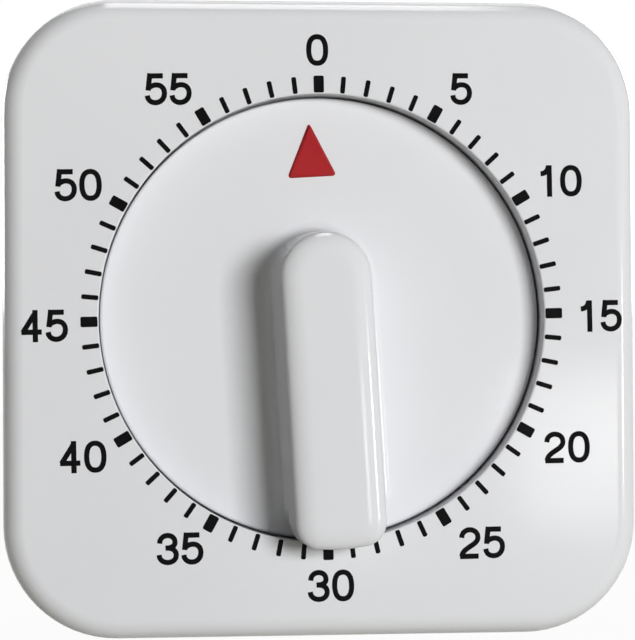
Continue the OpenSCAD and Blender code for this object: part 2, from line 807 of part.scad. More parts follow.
// Spiral of the mainspring, from the collet out to the eye on its post
spring_last = spring_steps * spring_turns;
spring_in_r = collet_r + spring_gap;
function spring_point(i, side) =
    polar(spring_in_r + (spring_r - spring_t - spring_in_r) * i / spring_last + side * spring_t,
          i * 360 / spring_steps);
module mainspring() {
    strip = concat(
        [for (i = [0 : spring_last]) spring_point(i, 0)],
        [for (i = [spring_last : -1 : 0]) spring_point(i, 1)]
    );
    color(dark_steel) upright() translate([0, 0, spring_z]) difference() {
        union() {
            linear_extrude(spring_h) polygon(strip);
            at(spring_post_at, 0) cylinder(r = spring_eye_r + spring_t, h = spring_h);
        }
        at(spring_post_at, 0) bore(spring_eye_r, spring_h);
    }
}

// Outline of the grip bar, spread by d, with its tail ending at radius tail
bar_half = bar_w / 2;
bar_corner_least = 0.2;
bar_center_y = bar_end - bar_half;
function inner_arc(c, r, a0, a1, n) = [for (i = [1 : n - 1]) c + polar(r, a0 + (a1 - a0) * i / n)];
function bar_outline(d, tail) =
    let (half = bar_half + d,
         round_r = max(bar_corner_r + d, bar_corner_least),
         corner = [half - round_r, -sqrt(pow(tail - round_r, 2) - pow(half - round_r, 2))],
         corner_dir = angle_of(corner))
    concat(
        arc([0, bar_center_y], half, 0, 180, 3 * arc_steps),
        arc([-corner[0], corner[1]], round_r, 180, 180 - corner_dir, corner_steps),
        inner_arc([0, 0], tail, 180 - corner_dir, 360 + corner_dir, arc_steps),
        arc(corner, round_r, 360 + corner_dir, 360, corner_steps)
    );

// Rings of the bar from its foot in the dial to its top face: level, spread and tail radius
bar_top_z = total_depth;
tail_foot_r = dial_r - dial_edge_r - tail_foot_in;
tail_r = well_r + tail_over;
tail_z = case_depth + tail_gap;
function bar_spread(z) = bar_draft * (bar_top_z - z) / (bar_top_z - dial_face_z);
bar_rings = concat(
    [[dial_face_z - bar_sink, bar_draft + bar_fillet, tail_foot_r]],
    [for (i = [0 : corner_steps])
        let (a = i * 90 / corner_steps, z = dial_face_z + bar_fillet * (1 - cos(a)) + eps)
        [z, bar_spread(z) + bar_fillet * (1 - sin(a)), tail_foot_r]],
    [[tail_z, bar_spread(tail_z), tail_foot_r],
     [tail_z + tail_gap, bar_spread(tail_z + tail_gap), tail_r]],
    [for (i = [0 : corner_steps])
        let (a = i * 90 / corner_steps,
             z = bar_top_z - bar_edge_h * (1 - sin(a)),
             inward = bar_edge_w * (1 - cos(a)))
        [z, bar_spread(z) - inward, tail_r - inward]]
);

// A closed loft through rings of equal point counts
module loft(rings) {
    n = len(rings[0]);
    last = len(rings) - 1;
    points = [for (r = rings) for (p = r) p];
    sides = [for (k = [0 : last - 1]) for (i = [0 : n - 1]) for (half = [0, 1])
        let (a = k * n + i, b = k * n + (i + 1) % n)
        half == 0 ? [a, a + n, b + n] : [a, b + n, b]];
    foot = [for (i = [0 : n - 1]) i];
    top = [for (i = [n - 1 : -1 : 0]) last * n + i];
    polyhedron(points, concat(sides, [foot, top]));
}

// Dial with its grip bar, one moulding on the main arbor
module dial_knob() {
    under_z = dial_face_z - dial_t;
    color(white_plastic) upright() rotate(dial_rest) difference() {
        union() {
            rotate_extrude($fn = fine_fn) polygon(concat(
                [[0, dial_z], [dial_hub_r, dial_z], [dial_hub_r, under_z],
                 [dial_r - dial_t, under_z], [dial_r - dial_t, dial_z], [dial_r, dial_z]],
                arc([dial_r - dial_edge_r, dial_face_z - dial_edge_r], dial_edge_r, 0, 90),
                [[0, dial_face_z]]
            ));
            loft([for (ring = bar_rings) [for (p = bar_outline(ring[1], ring[2])) [p[0], p[1], ring[0]]]]);
        }
        translate([0, 0, dial_z - over])
            flatted(main_r + seat_fit, flat_w + 2 * seat_fit, over + arbor_top_z + arbor_end_gap - dial_z);
    }
}

// Red triangle on the dial that points at the minutes
module pointer_mark() {
    tip = dial_r - mark_inset;
    color(pointer_red) upright() rotate(dial_rest) translate([0, 0, dial_face_z])
        linear_extrude(mark_t) polygon([[-mark_w / 2, tip - mark_h], [mark_w / 2, tip - mark_h], [0, tip]]);
}

// Main arbor: rear pivot, collet inside the spring, clip groove, flats for the dial
groove_r = main_r - groove_d;
module main_arbor() {
    color(steel) upright() rotate(dial_rest) difference() {
        union() {
            translate([0, 0, rear_plate_z]) cylinder(r = main_pivot_r, h = plate_t + run_fit + eps);
            translate([0, 0, rear_plate_top + run_fit])
                cylinder(r = main_r, h = dial_z - rear_plate_top - run_fit);
            translate([0, 0, spring_z]) cylinder(r = collet_r, h = main_z - run_fit - spring_z);
            translate([0, 0, dial_z - eps]) flatted(main_r, flat_w, arbor_top_z - dial_z + eps);
        }
        translate([0, 0, clip_z]) ring(main_r + over, groove_r, clip_t + 2 * seat_fit);
    }
}

// Retaining clip in the arbor's groove, open on one side
module arbor_clip() {
    color(steel) upright() rotate(dial_rest) translate([0, 0, clip_z + seat_fit]) difference() {
        ring(clip_r, groove_r + seat_fit, clip_t);
        translate([-clip_mouth / 2, -clip_r - over, -eps]) cube([clip_mouth, clip_r + over, clip_t + 2 * eps]);
    }
}

// Release cam: a disc with one notch, under the release finger at zero
module release_cam() {
    color(brass) upright() translate([0, 0, cam_z]) difference() {
        ring(cam_r, main_r + seat_fit, wheel_t);
        rotate(finger_dir) translate([cam_r - cam_notch_d, -cam_notch_w / 2, -eps])
            cube([cam_notch_d + over, cam_notch_w, wheel_t + 2 * eps]);
    }
}

// Dished washer between main wheel and collar
module clutch_washer() {
    hole = main_r + seat_fit;
    color(steel) upright() translate([0, 0, main_top + run_fit]) rotate_extrude() polygon([
        [hole, washer_dish], [washer_r, 0], [washer_r, washer_h - washer_dish], [hole, washer_h]
    ]);
}

// Collar pressed on the arbor over the clutch washer
module clutch_collar() {
    color(brass) upright() translate([0, 0, collar_z]) ring(collar_r, main_r + seat_fit, collar_h);
}

// Main wheel, held to the arbor by the clutch
module main_wheel() {
    color(brass) upright() translate([0, 0, main_z])
        wheel(main_teeth, main_module, second_dir, main_r + run_fit);
}

// Second arbor with its pinion in the main wheel
module second_arbor() {
    color(steel) upright() at(second_at, 0) union() {
        arbor(arbor_r);
        translate([0, 0, main_z - level_gap]) pinion(main_module, second_dir + 180, wheel_t + 2 * level_gap);
    }
}

// Second wheel, which drives the third arbor
module second_wheel() {
    color(brass) upright() at(second_at, second_z)
        wheel(second_teeth, second_module, third_dir, arbor_r + seat_fit);
}

// Strike star on the second arbor, which rocks the hammer
module strike_star() {
    color(brass) upright() at(second_at, star_z) difference() {
        linear_extrude(wheel_t) polygon([for (i = [0 : 2 * star_points - 1])
            polar(i % 2 == 0 ? star_r : star_root_r, (i - 1) * 180 / star_points)]);
        bore(arbor_r + seat_fit, wheel_t);
    }
}

// Third arbor with its pinion in the second wheel
module third_arbor() {
    color(steel) upright() at(third_at, 0) union() {
        arbor(arbor_r);
        translate([0, 0, second_z - level_gap]) pinion(second_module, third_dir + 180, wheel_t + 2 * level_gap);
    }
}

// Third wheel, which drives the escape arbor
module third_wheel() {
    color(brass) upright() at(third_at, cam_z) wheel(third_teeth, third_module, escape_dir, arbor_r + seat_fit);
}

// Escape arbor with its pinion in the third wheel
module escape_arbor() {
    pinion_z = rear_plate_top + 2 * run_fit;
    color(steel) upright() at(escape_at, 0) union() {
        arbor(escape_arbor_r);
        translate([0, 0, pinion_z])
            pinion(third_module, escape_dir + 180, cam_z + wheel_t + level_gap / 3 - pinion_z);
    }
}

// Escape wheel with raked, pointed teeth
module escape_wheel() {
    root = escape_r - escape_tooth_h;
    hole = escape_arbor_r + seat_fit;
    tip_end = escape_rise + escape_tip;
    tooth = [[root, 0], [escape_r, escape_rise], [escape_r, tip_end], [root, tip_end + escape_drop]];
    color(brass) upright() at(escape_at, escape_z) difference() {
        linear_extrude(wheel_t) polygon([for (i = [0 : escape_teeth - 1]) for (p = tooth)
            polar(p[0], (i + p[1]) * 360 / escape_teeth)]);
        bore(hole, wheel_t);
        wheel_openings(4, hole + escape_rim_w, root - escape_rim_w);
    }
}

// Balance staff between the plates
module balance_staff() {
    color(steel) upright() at(balance_at, 0) union() arbor(arbor_r);
}

// Balance wheel: heavy rim on two spokes
module balance_wheel() {
    spoke_len = 2 * balance_r - balance_rim_w;
    color(brass) upright() at(balance_at, balance_z) difference() {
        union() {
            ring(balance_r, balance_r - balance_rim_w, balance_h);
            cylinder(r = balance_hub_r, h = balance_h);
            rotate(balance_dir) translate([-spoke_len / 2, -spoke_w / 2, (balance_h - spoke_t) / 2])
                cube([spoke_len, spoke_w, spoke_t]);
        }
        bore(arbor_r + seat_fit, balance_h);
    }
}

// Anchor on the balance staff, whose two pins stop the escape wheel's teeth
module pallet_anchor() {
    reach = balance_reach - escape_r + pallet_reach;
    color(steel) upright() at(balance_at, pallet_z) rotate(balance_dir + 180) difference() {
        union() {
            cylinder(r = arbor_r + pallet_hub_w, h = pallet_t);
            for (side = [-1, 1]) rotate(side * pallet_spread) {
                translate([0, -pallet_arm_w / 2, 0]) cube([reach, pallet_arm_w, pallet_t]);
                translate([reach, 0, 0]) cylinder(r = pallet_end_r, h = pallet_t);
                translate([reach, 0, -pallet_pin_h]) cylinder(r = pallet_pin_r, h = pallet_pin_h + pallet_t);
            }
        }
        bore(arbor_r + seat_fit, pallet_t);
    }
}

// Hammer arbor: runs through the rear plate to carry the hammer arm behind it
module hammer_arbor() {
    color(steel) upright() at(hammer_at, 0) union() {
        translate([0, 0, hammer_arm_z - run_fit]) cylinder(r = arbor_r, h = front_plate_z - hammer_arm_z);
        translate([0, 0, front_plate_z - run_fit - eps]) cylinder(r = pivot_r, h = plate_t + run_fit + eps);
    }
}

// Lever whose finger rides on the release cam
module release_lever() {
    color(steel) upright() translate([0, 0, cam_z]) lever(finger_at);
}

// Lever that the strike star rocks while the bell rings
module strike_lever() {
    tip_at = second_at + polar(star_r + star_gap + lever_end_r, hammer_dir - strike_turn);
    color(steel) upright() translate([0, 0, star_z]) lever(tip_at);
}

// Arm behind the rear plate that carries the hammer head
module hammer_arm() {
    color(steel) upright() translate([0, 0, hammer_arm_z]) difference() {
        lever(head_at);
        at(head_at, 0) bore(rivet_r + seat_fit, wheel_t);
    }
}

// Hammer head riveted to the arm
module hammer_head() {
    color(brass) upright() at(head_at, hammer_arm_z) rotate_extrude() polygon([
        [0, wheel_t], [rivet_r, wheel_t], [rivet_r, -eps], [hammer_head_r, -eps],
        [hammer_head_r, hammer_bevel - hammer_head_h], [hammer_head_r - hammer_bevel, -hammer_head_h],
        [0, -hammer_head_h]
    ]);
}

// Bell: a spun cup, open towards the rear plate
function bell_wall(t) = [for (i = [0 : bell_steps])
    let (a = 90 * i / bell_steps - 90)
    [bell_crown_r + (bell_r - bell_crown_r - t) * cos(a), bell_rim_z + (bell_h - t) * sin(a)]];
module bell() {
    hole = bell_stud_r + seat_fit;
    inside = bell_wall(bell_t);
    color(steel) upright() at(bell_at, 0) rotate_extrude($fn = fine_fn) polygon(concat(
        [[hole, bell_crown_z]],
        bell_wall(0),
        [for (i = [bell_steps : -1 : 0]) inside[i]],
        [[hole, bell_crown_z + bell_t]]
    ));
}

// Post riveted in the rear plate that carries the bell
module bell_post() {
    seat_z = bell_crown_z + bell_t;
    color(steel) upright() at(bell_at, 0) union() {
        translate([0, 0, bell_nut_z]) cylinder(r = bell_stud_r, h = seat_z + eps - bell_nut_z);
        translate([0, 0, seat_z]) cylinder(r = bell_post_r, h = rear_plate_z - seat_z);
        translate([0, 0, rear_plate_z - eps]) cylinder(r = bell_stud_r, h = plate_t + eps);
    }
}

// Nut that clamps the bell on its post
module bell_nut() {
    color(steel) upright() at(bell_at, bell_nut_z) hex_nut(bell_nut_w, bell_stud_r + seat_fit, bell_nut_h);
}

front_case();
rear_cover();
rear_magnet();
case_screws();
movement_screws();
front_plate();
rear_plate();
plate_pillars();
pillar_nuts();
spring_post();
mainspring();
dial_knob();
pointer_mark();
main_arbor();
arbor_clip();
release_cam();
clutch_washer();
clutch_collar();
main_wheel();
second_arbor();
second_wheel();
strike_star();
third_arbor();
third_wheel();
escape_arbor();
escape_wheel();
balance_staff();
balance_wheel();
pallet_anchor();
hammer_arbor();
release_lever();
strike_lever();
hammer_arm();
hammer_head();
bell();
bell_post();
bell_nut();
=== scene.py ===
import math

import bmesh
import bpy
from mathutils import Matrix, Vector


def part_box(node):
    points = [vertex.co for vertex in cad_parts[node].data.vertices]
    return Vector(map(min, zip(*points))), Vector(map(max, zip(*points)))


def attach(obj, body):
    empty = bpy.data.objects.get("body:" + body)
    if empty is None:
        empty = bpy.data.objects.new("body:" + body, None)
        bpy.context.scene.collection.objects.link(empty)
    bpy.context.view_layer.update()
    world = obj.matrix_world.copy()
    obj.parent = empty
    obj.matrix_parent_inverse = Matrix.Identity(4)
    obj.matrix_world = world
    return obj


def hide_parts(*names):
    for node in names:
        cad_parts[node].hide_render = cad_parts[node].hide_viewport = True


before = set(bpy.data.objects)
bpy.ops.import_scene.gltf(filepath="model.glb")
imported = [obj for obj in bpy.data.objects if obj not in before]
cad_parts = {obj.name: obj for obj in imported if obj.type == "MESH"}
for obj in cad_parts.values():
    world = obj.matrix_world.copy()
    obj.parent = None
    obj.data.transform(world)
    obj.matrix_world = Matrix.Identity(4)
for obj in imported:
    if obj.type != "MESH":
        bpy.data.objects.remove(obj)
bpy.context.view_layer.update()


# Front case: one deep square tray in glossy white ABS, injection moulded, with round corners.
# A round well for the dial is sunk in its face. Inside stand four posts for the case screws and
# four shorter ones for the clockwork.
mm = 0.001
case_low, case_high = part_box("front_case")
axis_z = (case_low.z + case_high.z) / 2
case_width = case_high.x - case_low.x
face_y = case_low.y
parting_y = case_high.y
plate_front_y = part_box("front_plate")[0].y
knob_low, knob_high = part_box("dial_knob")
dial_back_y = knob_high.y
wall = 2.0 * mm
corner_radius = 12.4 * mm
face_round = 2.3 * mm
seam_round = 0.2 * mm
well_radius = 24.6 * mm
well_wall = 1.6 * mm
well_floor = 1.5 * mm
well_edge_round = 0.2 * mm
dial_lift = 0.5 * mm
well_floor_y = dial_back_y + dial_lift
spindle_hole_radius = 3.4 * mm
screw_inset = 9.5 * mm
screw_post_radius = 3.0 * mm
screw_bore_radius = 1.2 * mm
screw_bore_depth = 10.0 * mm
movement_post_radius = 2.3 * mm
movement_post_ring = 28.9 * mm
movement_post_first = math.radians(30)
movement_bore_radius = 0.9 * mm
movement_bore_depth = 5.0 * mm
overshoot = 1.0 * mm
weld = 0.0005 * mm
corner_steps = 16
front_edge_steps = 10
rear_edge_steps = 8
well_edge_steps = 8
noise_low, noise_high = 0.2, 0.8
white_shade = (0.732, 0.738, 0.766, 1.0)
white_light = (0.752, 0.758, 0.786, 1.0)
white_gloss = 0.3


def only(piece):
    """Leaves one object selected and active."""
    bpy.ops.object.select_all(action="DESELECT")
    piece.select_set(True)
    bpy.context.view_layer.objects.active = piece


def pick(piece, kind, wanted):
    """Selects, in edit mode, the vertices, edges or faces whose corners all pass a test."""
    bpy.ops.mesh.select_mode(type=kind)
    bpy.ops.mesh.select_all(action="DESELECT")
    mesh = bmesh.from_edit_mesh(piece.data)
    if kind == "VERT":
        for vert in mesh.verts:
            vert.select_set(wanted(vert.co))
    else:
        for part in mesh.edges if kind == "EDGE" else mesh.faces:
            part.select_set(all(wanted(vert.co) for vert in part.verts))
    mesh.select_flush_mode()
    bmesh.update_edit_mesh(piece.data)


def pick_lengthwise(piece):
    """Selects, in edit mode, the edges that run straight from front to rear."""
    bpy.ops.mesh.select_mode(type="EDGE")
    bpy.ops.mesh.select_all(action="DESELECT")
    mesh = bmesh.from_edit_mesh(piece.data)
    for edge in mesh.edges:
        along = edge.verts[0].co - edge.verts[1].co
        edge.select_set(abs(along.x) + abs(along.z) < weld)
    bmesh.update_edit_mesh(piece.data)


def fix_place(piece):
    """Moves an object's place, turn and scale into its mesh."""
    only(piece)
    bpy.ops.object.transform_apply(location=True, rotation=True, scale=True)


def apply_modifier(piece, kind, **settings):
    """Adds one modifier with its settings and applies it."""
    only(piece)
    modifier = piece.modifiers.new(kind.lower(), kind)
    for name, value in settings.items():
        setattr(modifier, name, value)
    bpy.ops.object.modifier_apply(modifier=modifier.name)


def combine(piece, tool, operation):
    """Cuts a tool's shape from a piece, or joins it on, and takes the tool away."""
    apply_modifier(piece, "BOOLEAN", operation=operation, object=tool, solver="EXACT")
    bpy.data.objects.remove(tool)


def rounded_block(name, width, corner, front, rear, front_round=0.0, rear_round=0.0):
    """A square block, rounded at its four corners and along its front and rear edges."""
    bpy.ops.object.select_all(action="DESELECT")
    bpy.ops.mesh.primitive_cube_add(size=1, location=(0, (front + rear) / 2, axis_z))
    block = bpy.context.object
    block.name = name
    block.scale = (width, rear - front, width)
    fix_place(block)
    bpy.ops.object.mode_set(mode="EDIT")
    pick_lengthwise(block)
    bpy.ops.mesh.bevel(offset=corner, segments=corner_steps, affect="EDGES")
    edges = ((front, front_round, front_edge_steps), (rear, rear_round, rear_edge_steps))
    for level, radius, steps in edges:
        if radius:
            pick(block, "EDGE", lambda co: abs(co.y - level) < weld)
            bpy.ops.mesh.bevel(offset=radius, segments=steps, affect="EDGES")
    bpy.ops.object.mode_set(mode="OBJECT")
    return block


def chain(name, start, steps):
    """A row of points, each one step on from the last, left in edit mode and all selected."""
    bpy.ops.object.select_all(action="DESELECT")
    bpy.ops.mesh.primitive_plane_add(size=mm, location=start)
    row = bpy.context.object
    row.name = name
    fix_place(row)
    bpy.ops.object.mode_set(mode="EDIT")
    bpy.ops.mesh.select_mode(type="VERT")
    bpy.ops.mesh.select_all(action="SELECT")
    bpy.ops.mesh.merge(type="CENTER")
    for step in steps:
        bpy.ops.mesh.extrude_vertices_move(TRANSFORM_OT_translate={"value": step})
    bpy.ops.mesh.select_all(action="SELECT")
    return row


def turned(name, profile, centre=(0, axis_z), steps=128):
    """A solid of revolution about the Y axis through a centre, from (radius, y) points."""
    start_radius, start_y = profile[0]
    outline = [(r1 - r0, y1 - y0, 0) for (r0, y0), (r1, y1) in zip(profile, profile[1:])]
    piece = chain(name, (centre[0] + start_radius, start_y, centre[1]), outline)
    bpy.ops.mesh.spin(
        steps=steps, angle=math.tau, center=(centre[0], 0, centre[1]), axis=(0, 1, 0))
    bpy.ops.mesh.select_all(action="SELECT")
    bpy.ops.mesh.remove_doubles(threshold=weld)
    bpy.ops.mesh.normals_make_consistent(inside=False)
    bpy.ops.object.mode_set(mode="OBJECT")
    return piece


def arc(centre, radius, start, end, steps):
    """Points of a round stretch of a profile, angles in degrees."""
    angles = [math.radians(start + (end - start) * i / steps) for i in range(steps + 1)]
    return [(centre[0] + radius * math.cos(a), centre[1] + radius * math.sin(a)) for a in angles]


def joined(name, pieces):
    """Joins several objects in one."""
    bpy.ops.object.select_all(action="DESELECT")
    for piece in pieces:
        piece.select_set(True)
    bpy.context.view_layer.objects.active = pieces[0]
    bpy.ops.object.join()
    bpy.context.object.name = name
    return bpy.context.object


def repeat(piece, moves):
    """Copies a piece to each move, every copy with its own mesh, and joins them in one object."""
    name = piece.name
    copies = []
    for move in moves:
        copy = piece.copy()
        copy.data = piece.data.copy()
        bpy.context.collection.objects.link(copy)
        copy.matrix_world = move
        copies.append(copy)
    bpy.data.objects.remove(piece)
    group = joined(name, copies)
    fix_place(group)
    return group


def rods(name, places, radius, front, rear, steps=40):
    """Round rods from a front to a rear level at several (x, z) places."""
    rod = turned(name, [(0, front), (radius, front), (radius, rear), (0, rear)], steps=steps)
    return repeat(rod, [Matrix.Translation((x, 0, z)) for x, z in places])


def smooth(piece, angle=32):
    """Rounds off the shading across shallow edges and keeps the flat faces flat."""
    only(piece)
    bpy.ops.object.shade_smooth_by_angle(angle=math.radians(angle))
    apply_modifier(piece, "WEIGHTED_NORMAL", keep_sharp=True, weight=80)


def new_finish(name, roughness, metallic=0.0, gloss=0.5, ior=1.5):
    """A new material with its constants set."""
    finish = bpy.data.materials.new(name)
    finish.use_nodes = True
    shader = finish.node_tree.nodes["Principled BSDF"]
    shader.inputs["Roughness"].default_value = roughness
    shader.inputs["Metallic"].default_value = metallic
    shader.inputs["Specular IOR Level"].default_value = gloss
    shader.inputs["IOR"].default_value = ior
    return finish


def grain(finish, per_metre, detail, stretch=(1, 1, 1)):
    """A noise pattern on the piece's own coordinates, with so many features per metre."""
    nodes, links = finish.node_tree.nodes, finish.node_tree.links
    coords = nodes.new("ShaderNodeTexCoord")
    mapping = nodes.new("ShaderNodeMapping")
    mapping.inputs["Scale"].default_value = stretch
    noise = nodes.new("ShaderNodeTexNoise")
    noise.inputs["Scale"].default_value = per_metre
    noise.inputs["Detail"].default_value = detail
    links.new(coords.outputs["Object"], mapping.inputs["Vector"])
    links.new(mapping.outputs["Vector"], noise.inputs["Vector"])
    return noise.outputs["Fac"]


def tint(finish, pattern, dark, light):
    """Colours the surface from dark to light along a pattern."""
    nodes, links = finish.node_tree.nodes, finish.node_tree.links
    ramp = nodes.new("ShaderNodeValToRGB")
    ramp.color_ramp.interpolation = "EASE"
    ramp.color_ramp.elements[0].position = noise_low
    ramp.color_ramp.elements[1].position = noise_high
    ramp.color_ramp.elements[0].color = dark
    ramp.color_ramp.elements[1].color = light
    links.new(pattern, ramp.inputs["Fac"])
    links.new(ramp.outputs["Color"], nodes["Principled BSDF"].inputs["Base Color"])


def polish(finish, pattern, low, high):
    """Lets the roughness wander between two values along a pattern."""
    nodes, links = finish.node_tree.nodes, finish.node_tree.links
    span = nodes.new("ShaderNodeMapRange")
    span.interpolation_type = "SMOOTHSTEP"
    span.inputs["From Min"].default_value = noise_low
    span.inputs["From Max"].default_value = noise_high
    span.inputs["To Min"].default_value = low
    span.inputs["To Max"].default_value = high
    links.new(pattern, span.inputs["Value"])
    links.new(span.outputs["Result"], nodes["Principled BSDF"].inputs["Roughness"])


def relief(finish, pattern, strength, depth):
    """Gives the surface a fine relief along a pattern."""
    nodes, links = finish.node_tree.nodes, finish.node_tree.links
    bump = nodes.new("ShaderNodeBump")
    bump.inputs["Strength"].default_value = strength
    bump.inputs["Distance"].default_value = depth
    links.new(pattern, bump.inputs["Height"])
    links.new(bump.outputs["Normal"], nodes["Principled BSDF"].inputs["Normal"])


def white_abs():
    """Glossy white ABS: faint flow clouds in the colour, uneven gloss, fine ripple of the mould."""
    finish = new_finish("white_abs", roughness=0.2, gloss=white_gloss)
    tint(finish, grain(finish, per_metre=45, detail=1), white_shade, white_light)
    polish(finish, grain(finish, per_metre=130, detail=2), low=0.11, high=0.15)
    relief(finish, grain(finish, per_metre=900, detail=2), strength=0.03, depth=0.03 * mm)
    return finish


def dress(piece, finish, body, slot, *nodes):
    """Gives a new piece its finish and its body, and lets it stand for the CAD nodes named."""
    piece.data.materials.clear()
    piece.data.materials.append(finish)
    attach(piece, body)
    if nodes:
        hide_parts(*nodes)


screw_x = case_width / 2 - screw_inset
corner_places = [(x * screw_x, z * screw_x) for x in (-1, 1) for z in (-1, 1)]
movement_places = [
    (movement_post_ring * math.cos(movement_post_first + i * math.pi / 2),
     movement_post_ring * math.sin(movement_post_first + i * math.pi / 2))
    for i in range(4)
]
post_front = face_y + wall / 2
well_back_y = well_floor_y + well_floor

front_shell = rounded_block(
    "front_shell", case_width, corner_radius, face_y, parting_y, face_round, seam_round)
hollow = rounded_block(
    "hollow", case_width - 2 * wall, corner_radius - wall, face_y + wall, parting_y + overshoot,
    face_round - wall)
combine(front_shell, hollow, "DIFFERENCE")
well_barrel = turned("well_barrel", [
    (0, post_front), (well_radius + well_wall, post_front),
    (well_radius + well_wall, well_back_y), (0, well_back_y)])
combine(front_shell, well_barrel, "UNION")
screw_posts = rods("screw_posts", corner_places, screw_post_radius, post_front, parting_y)
combine(front_shell, screw_posts, "UNION")
movement_posts = rods(
    "movement_posts", movement_places, movement_post_radius, post_front, plate_front_y)
combine(front_shell, movement_posts, "UNION")
well_mouth = [(0, well_floor_y), (well_radius, well_floor_y)]
well_mouth += arc((well_radius + well_edge_round, face_y + well_edge_round), well_edge_round,
                  180, 270, well_edge_steps)
well_mouth += [(well_radius + well_edge_round, face_y - overshoot), (0, face_y - overshoot)]
combine(front_shell, turned("well_mouth", well_mouth), "DIFFERENCE")
spindle_hole = rods("spindle_hole", [(0, 0)], spindle_hole_radius,
                    well_floor_y - overshoot, well_back_y + overshoot)
combine(front_shell, spindle_hole, "DIFFERENCE")
screw_bores = rods("screw_bores", corner_places, screw_bore_radius,
                   parting_y - screw_bore_depth, parting_y + overshoot)
combine(front_shell, screw_bores, "DIFFERENCE")
movement_bores = rods("movement_bores", movement_places, movement_bore_radius,
                      plate_front_y - movement_bore_depth, plate_front_y + overshoot)
combine(front_shell, movement_bores, "DIFFERENCE")
smooth(front_shell)
white_plastic = white_abs()
dress(front_shell, white_plastic, "case", "white_plastic", "front_case")


# Minute marks: sixty short strokes in black ink, pad-printed round the well, broader at every
# fifth minute. They reach in to the edge of the well and lie on the plastic; the whole print sits
# a little turned on the case.
print_turn = math.radians(0.87)
degrees_per_minute = 6
stroke_parts = 10
marks_inner = 24.72 * mm
marks_outer = 26.58 * mm
minute_stroke = 0.53 * mm
five_stroke = 1.14 * mm
ink_height = 0.02 * mm
stroke_corner = 0.16 * mm
stroke_corner_steps = 2
ink_gloss = 0.05
ink_dark = (0.002, 0.002, 0.0025, 1.0)
ink_light = (0.005, 0.005, 0.0055, 1.0)


def printing_ink():
    """Black pad-printing ink: thin and even, a little duller than the plastic under it."""
    finish = new_finish("printing_ink", roughness=0.4, gloss=ink_gloss)
    tint(finish, grain(finish, per_metre=700, detail=4), ink_dark, ink_light)
    polish(finish, grain(finish, per_metre=400, detail=4), low=0.32, high=0.48)
    relief(finish, grain(finish, per_metre=2500, detail=2), strength=0.08, depth=ink_height)
    return finish


def stroke(width):
    """One printed stroke above the middle of the dial, its corners a little rounded."""
    bpy.ops.object.select_all(action="DESELECT")
    bpy.ops.mesh.primitive_plane_add(size=1, rotation=(math.pi / 2, 0, 0))
    mark = bpy.context.object
    mark.scale = (width, marks_outer - marks_inner, 1)
    mark.location = (0, face_y - overshoot, (marks_inner + marks_outer) / 2)
    fix_place(mark)
    bpy.ops.object.mode_set(mode="EDIT")
    bpy.ops.mesh.select_all(action="SELECT")
    bpy.ops.mesh.bevel(offset=stroke_corner, segments=stroke_corner_steps, affect="VERTICES")
    for i in range(1, stroke_parts):
        level = marks_inner + (marks_outer - marks_inner) * i / stroke_parts
        bpy.ops.mesh.select_all(action="SELECT")
        bpy.ops.mesh.bisect(plane_co=(0, 0, level), plane_no=(0, 0, 1))
    bpy.ops.object.mode_set(mode="OBJECT")
    return mark


def round_dial(minutes):
    """The move that carries a mark from the top of the dial to a minute."""
    turn = Matrix.Rotation(math.radians(degrees_per_minute * minutes) - print_turn, 4, "Y")
    return Matrix.Translation((0, 0, axis_z)) @ turn


minutes = range(60)
thin_marks = repeat(stroke(minute_stroke), [round_dial(i) for i in minutes if i % 5])
broad_marks = repeat(stroke(five_stroke), [round_dial(i) for i in minutes if not i % 5])
minute_marks = joined("minute_marks", [thin_marks, broad_marks])
apply_modifier(minute_marks, "SHRINKWRAP", target=front_shell, wrap_method="PROJECT",
               use_project_y=True, use_positive_direction=True, use_negative_direction=True)
apply_modifier(minute_marks, "SOLIDIFY", thickness=2 * ink_height, offset=0)
black_ink = printing_ink()
dress(minute_marks, black_ink, "case", "white_plastic")


# Dial numbers: 0 to 55 in steps of five, upright plain grotesque digits in the same black ink.
# They stand just outside the minute marks, a little further out at the sides than above and
# below. Their places are x and z from the dial's axis, in mm.
digit_height = 3.5 * mm
digit_width = 2.45 * mm
digit_pitch = 2.7 * mm
digit_stroke = 0.58 * mm
number_places = {
    0: (-0.1, 29.4), 5: (15.8, 24.95), 10: (26.55, 14.65),
    15: (30.75, -0.4), 20: (26.8, -14.85), 25: (17.05, -25.15),
    30: (0.2, -29.4), 35: (-16.25, -24.9), 40: (-26.6, -14.65),
    45: (-30.5, -0.35), 50: (-26.55, 14.9), 55: (-16.55, 25.25)}
half_wide = (digit_width - digit_stroke) / 2
half_high = (digit_height - digit_stroke) / 2
full_high = digit_height / 2 / half_high


def bend(start, leave, arrive, end, steps=10):
    """Points of a smooth curve between two ends, drawn towards the two handles."""
    points = []
    for i in range(steps + 1):
        t = i / steps
        shares = ((1 - t) ** 3, 3 * t * (1 - t) ** 2, 3 * t * t * (1 - t), t ** 3)
        corners = (start, leave, arrive, end)
        points.append(tuple(sum(s * c[k] for s, c in zip(shares, corners)) for k in (0, 1)))
    return points


def bends(*curves):
    """One line along several curves that follow on each other."""
    points = bend(*curves[0])
    for curve in curves[1:]:
        points += bend(*curve)[1:]
    return points


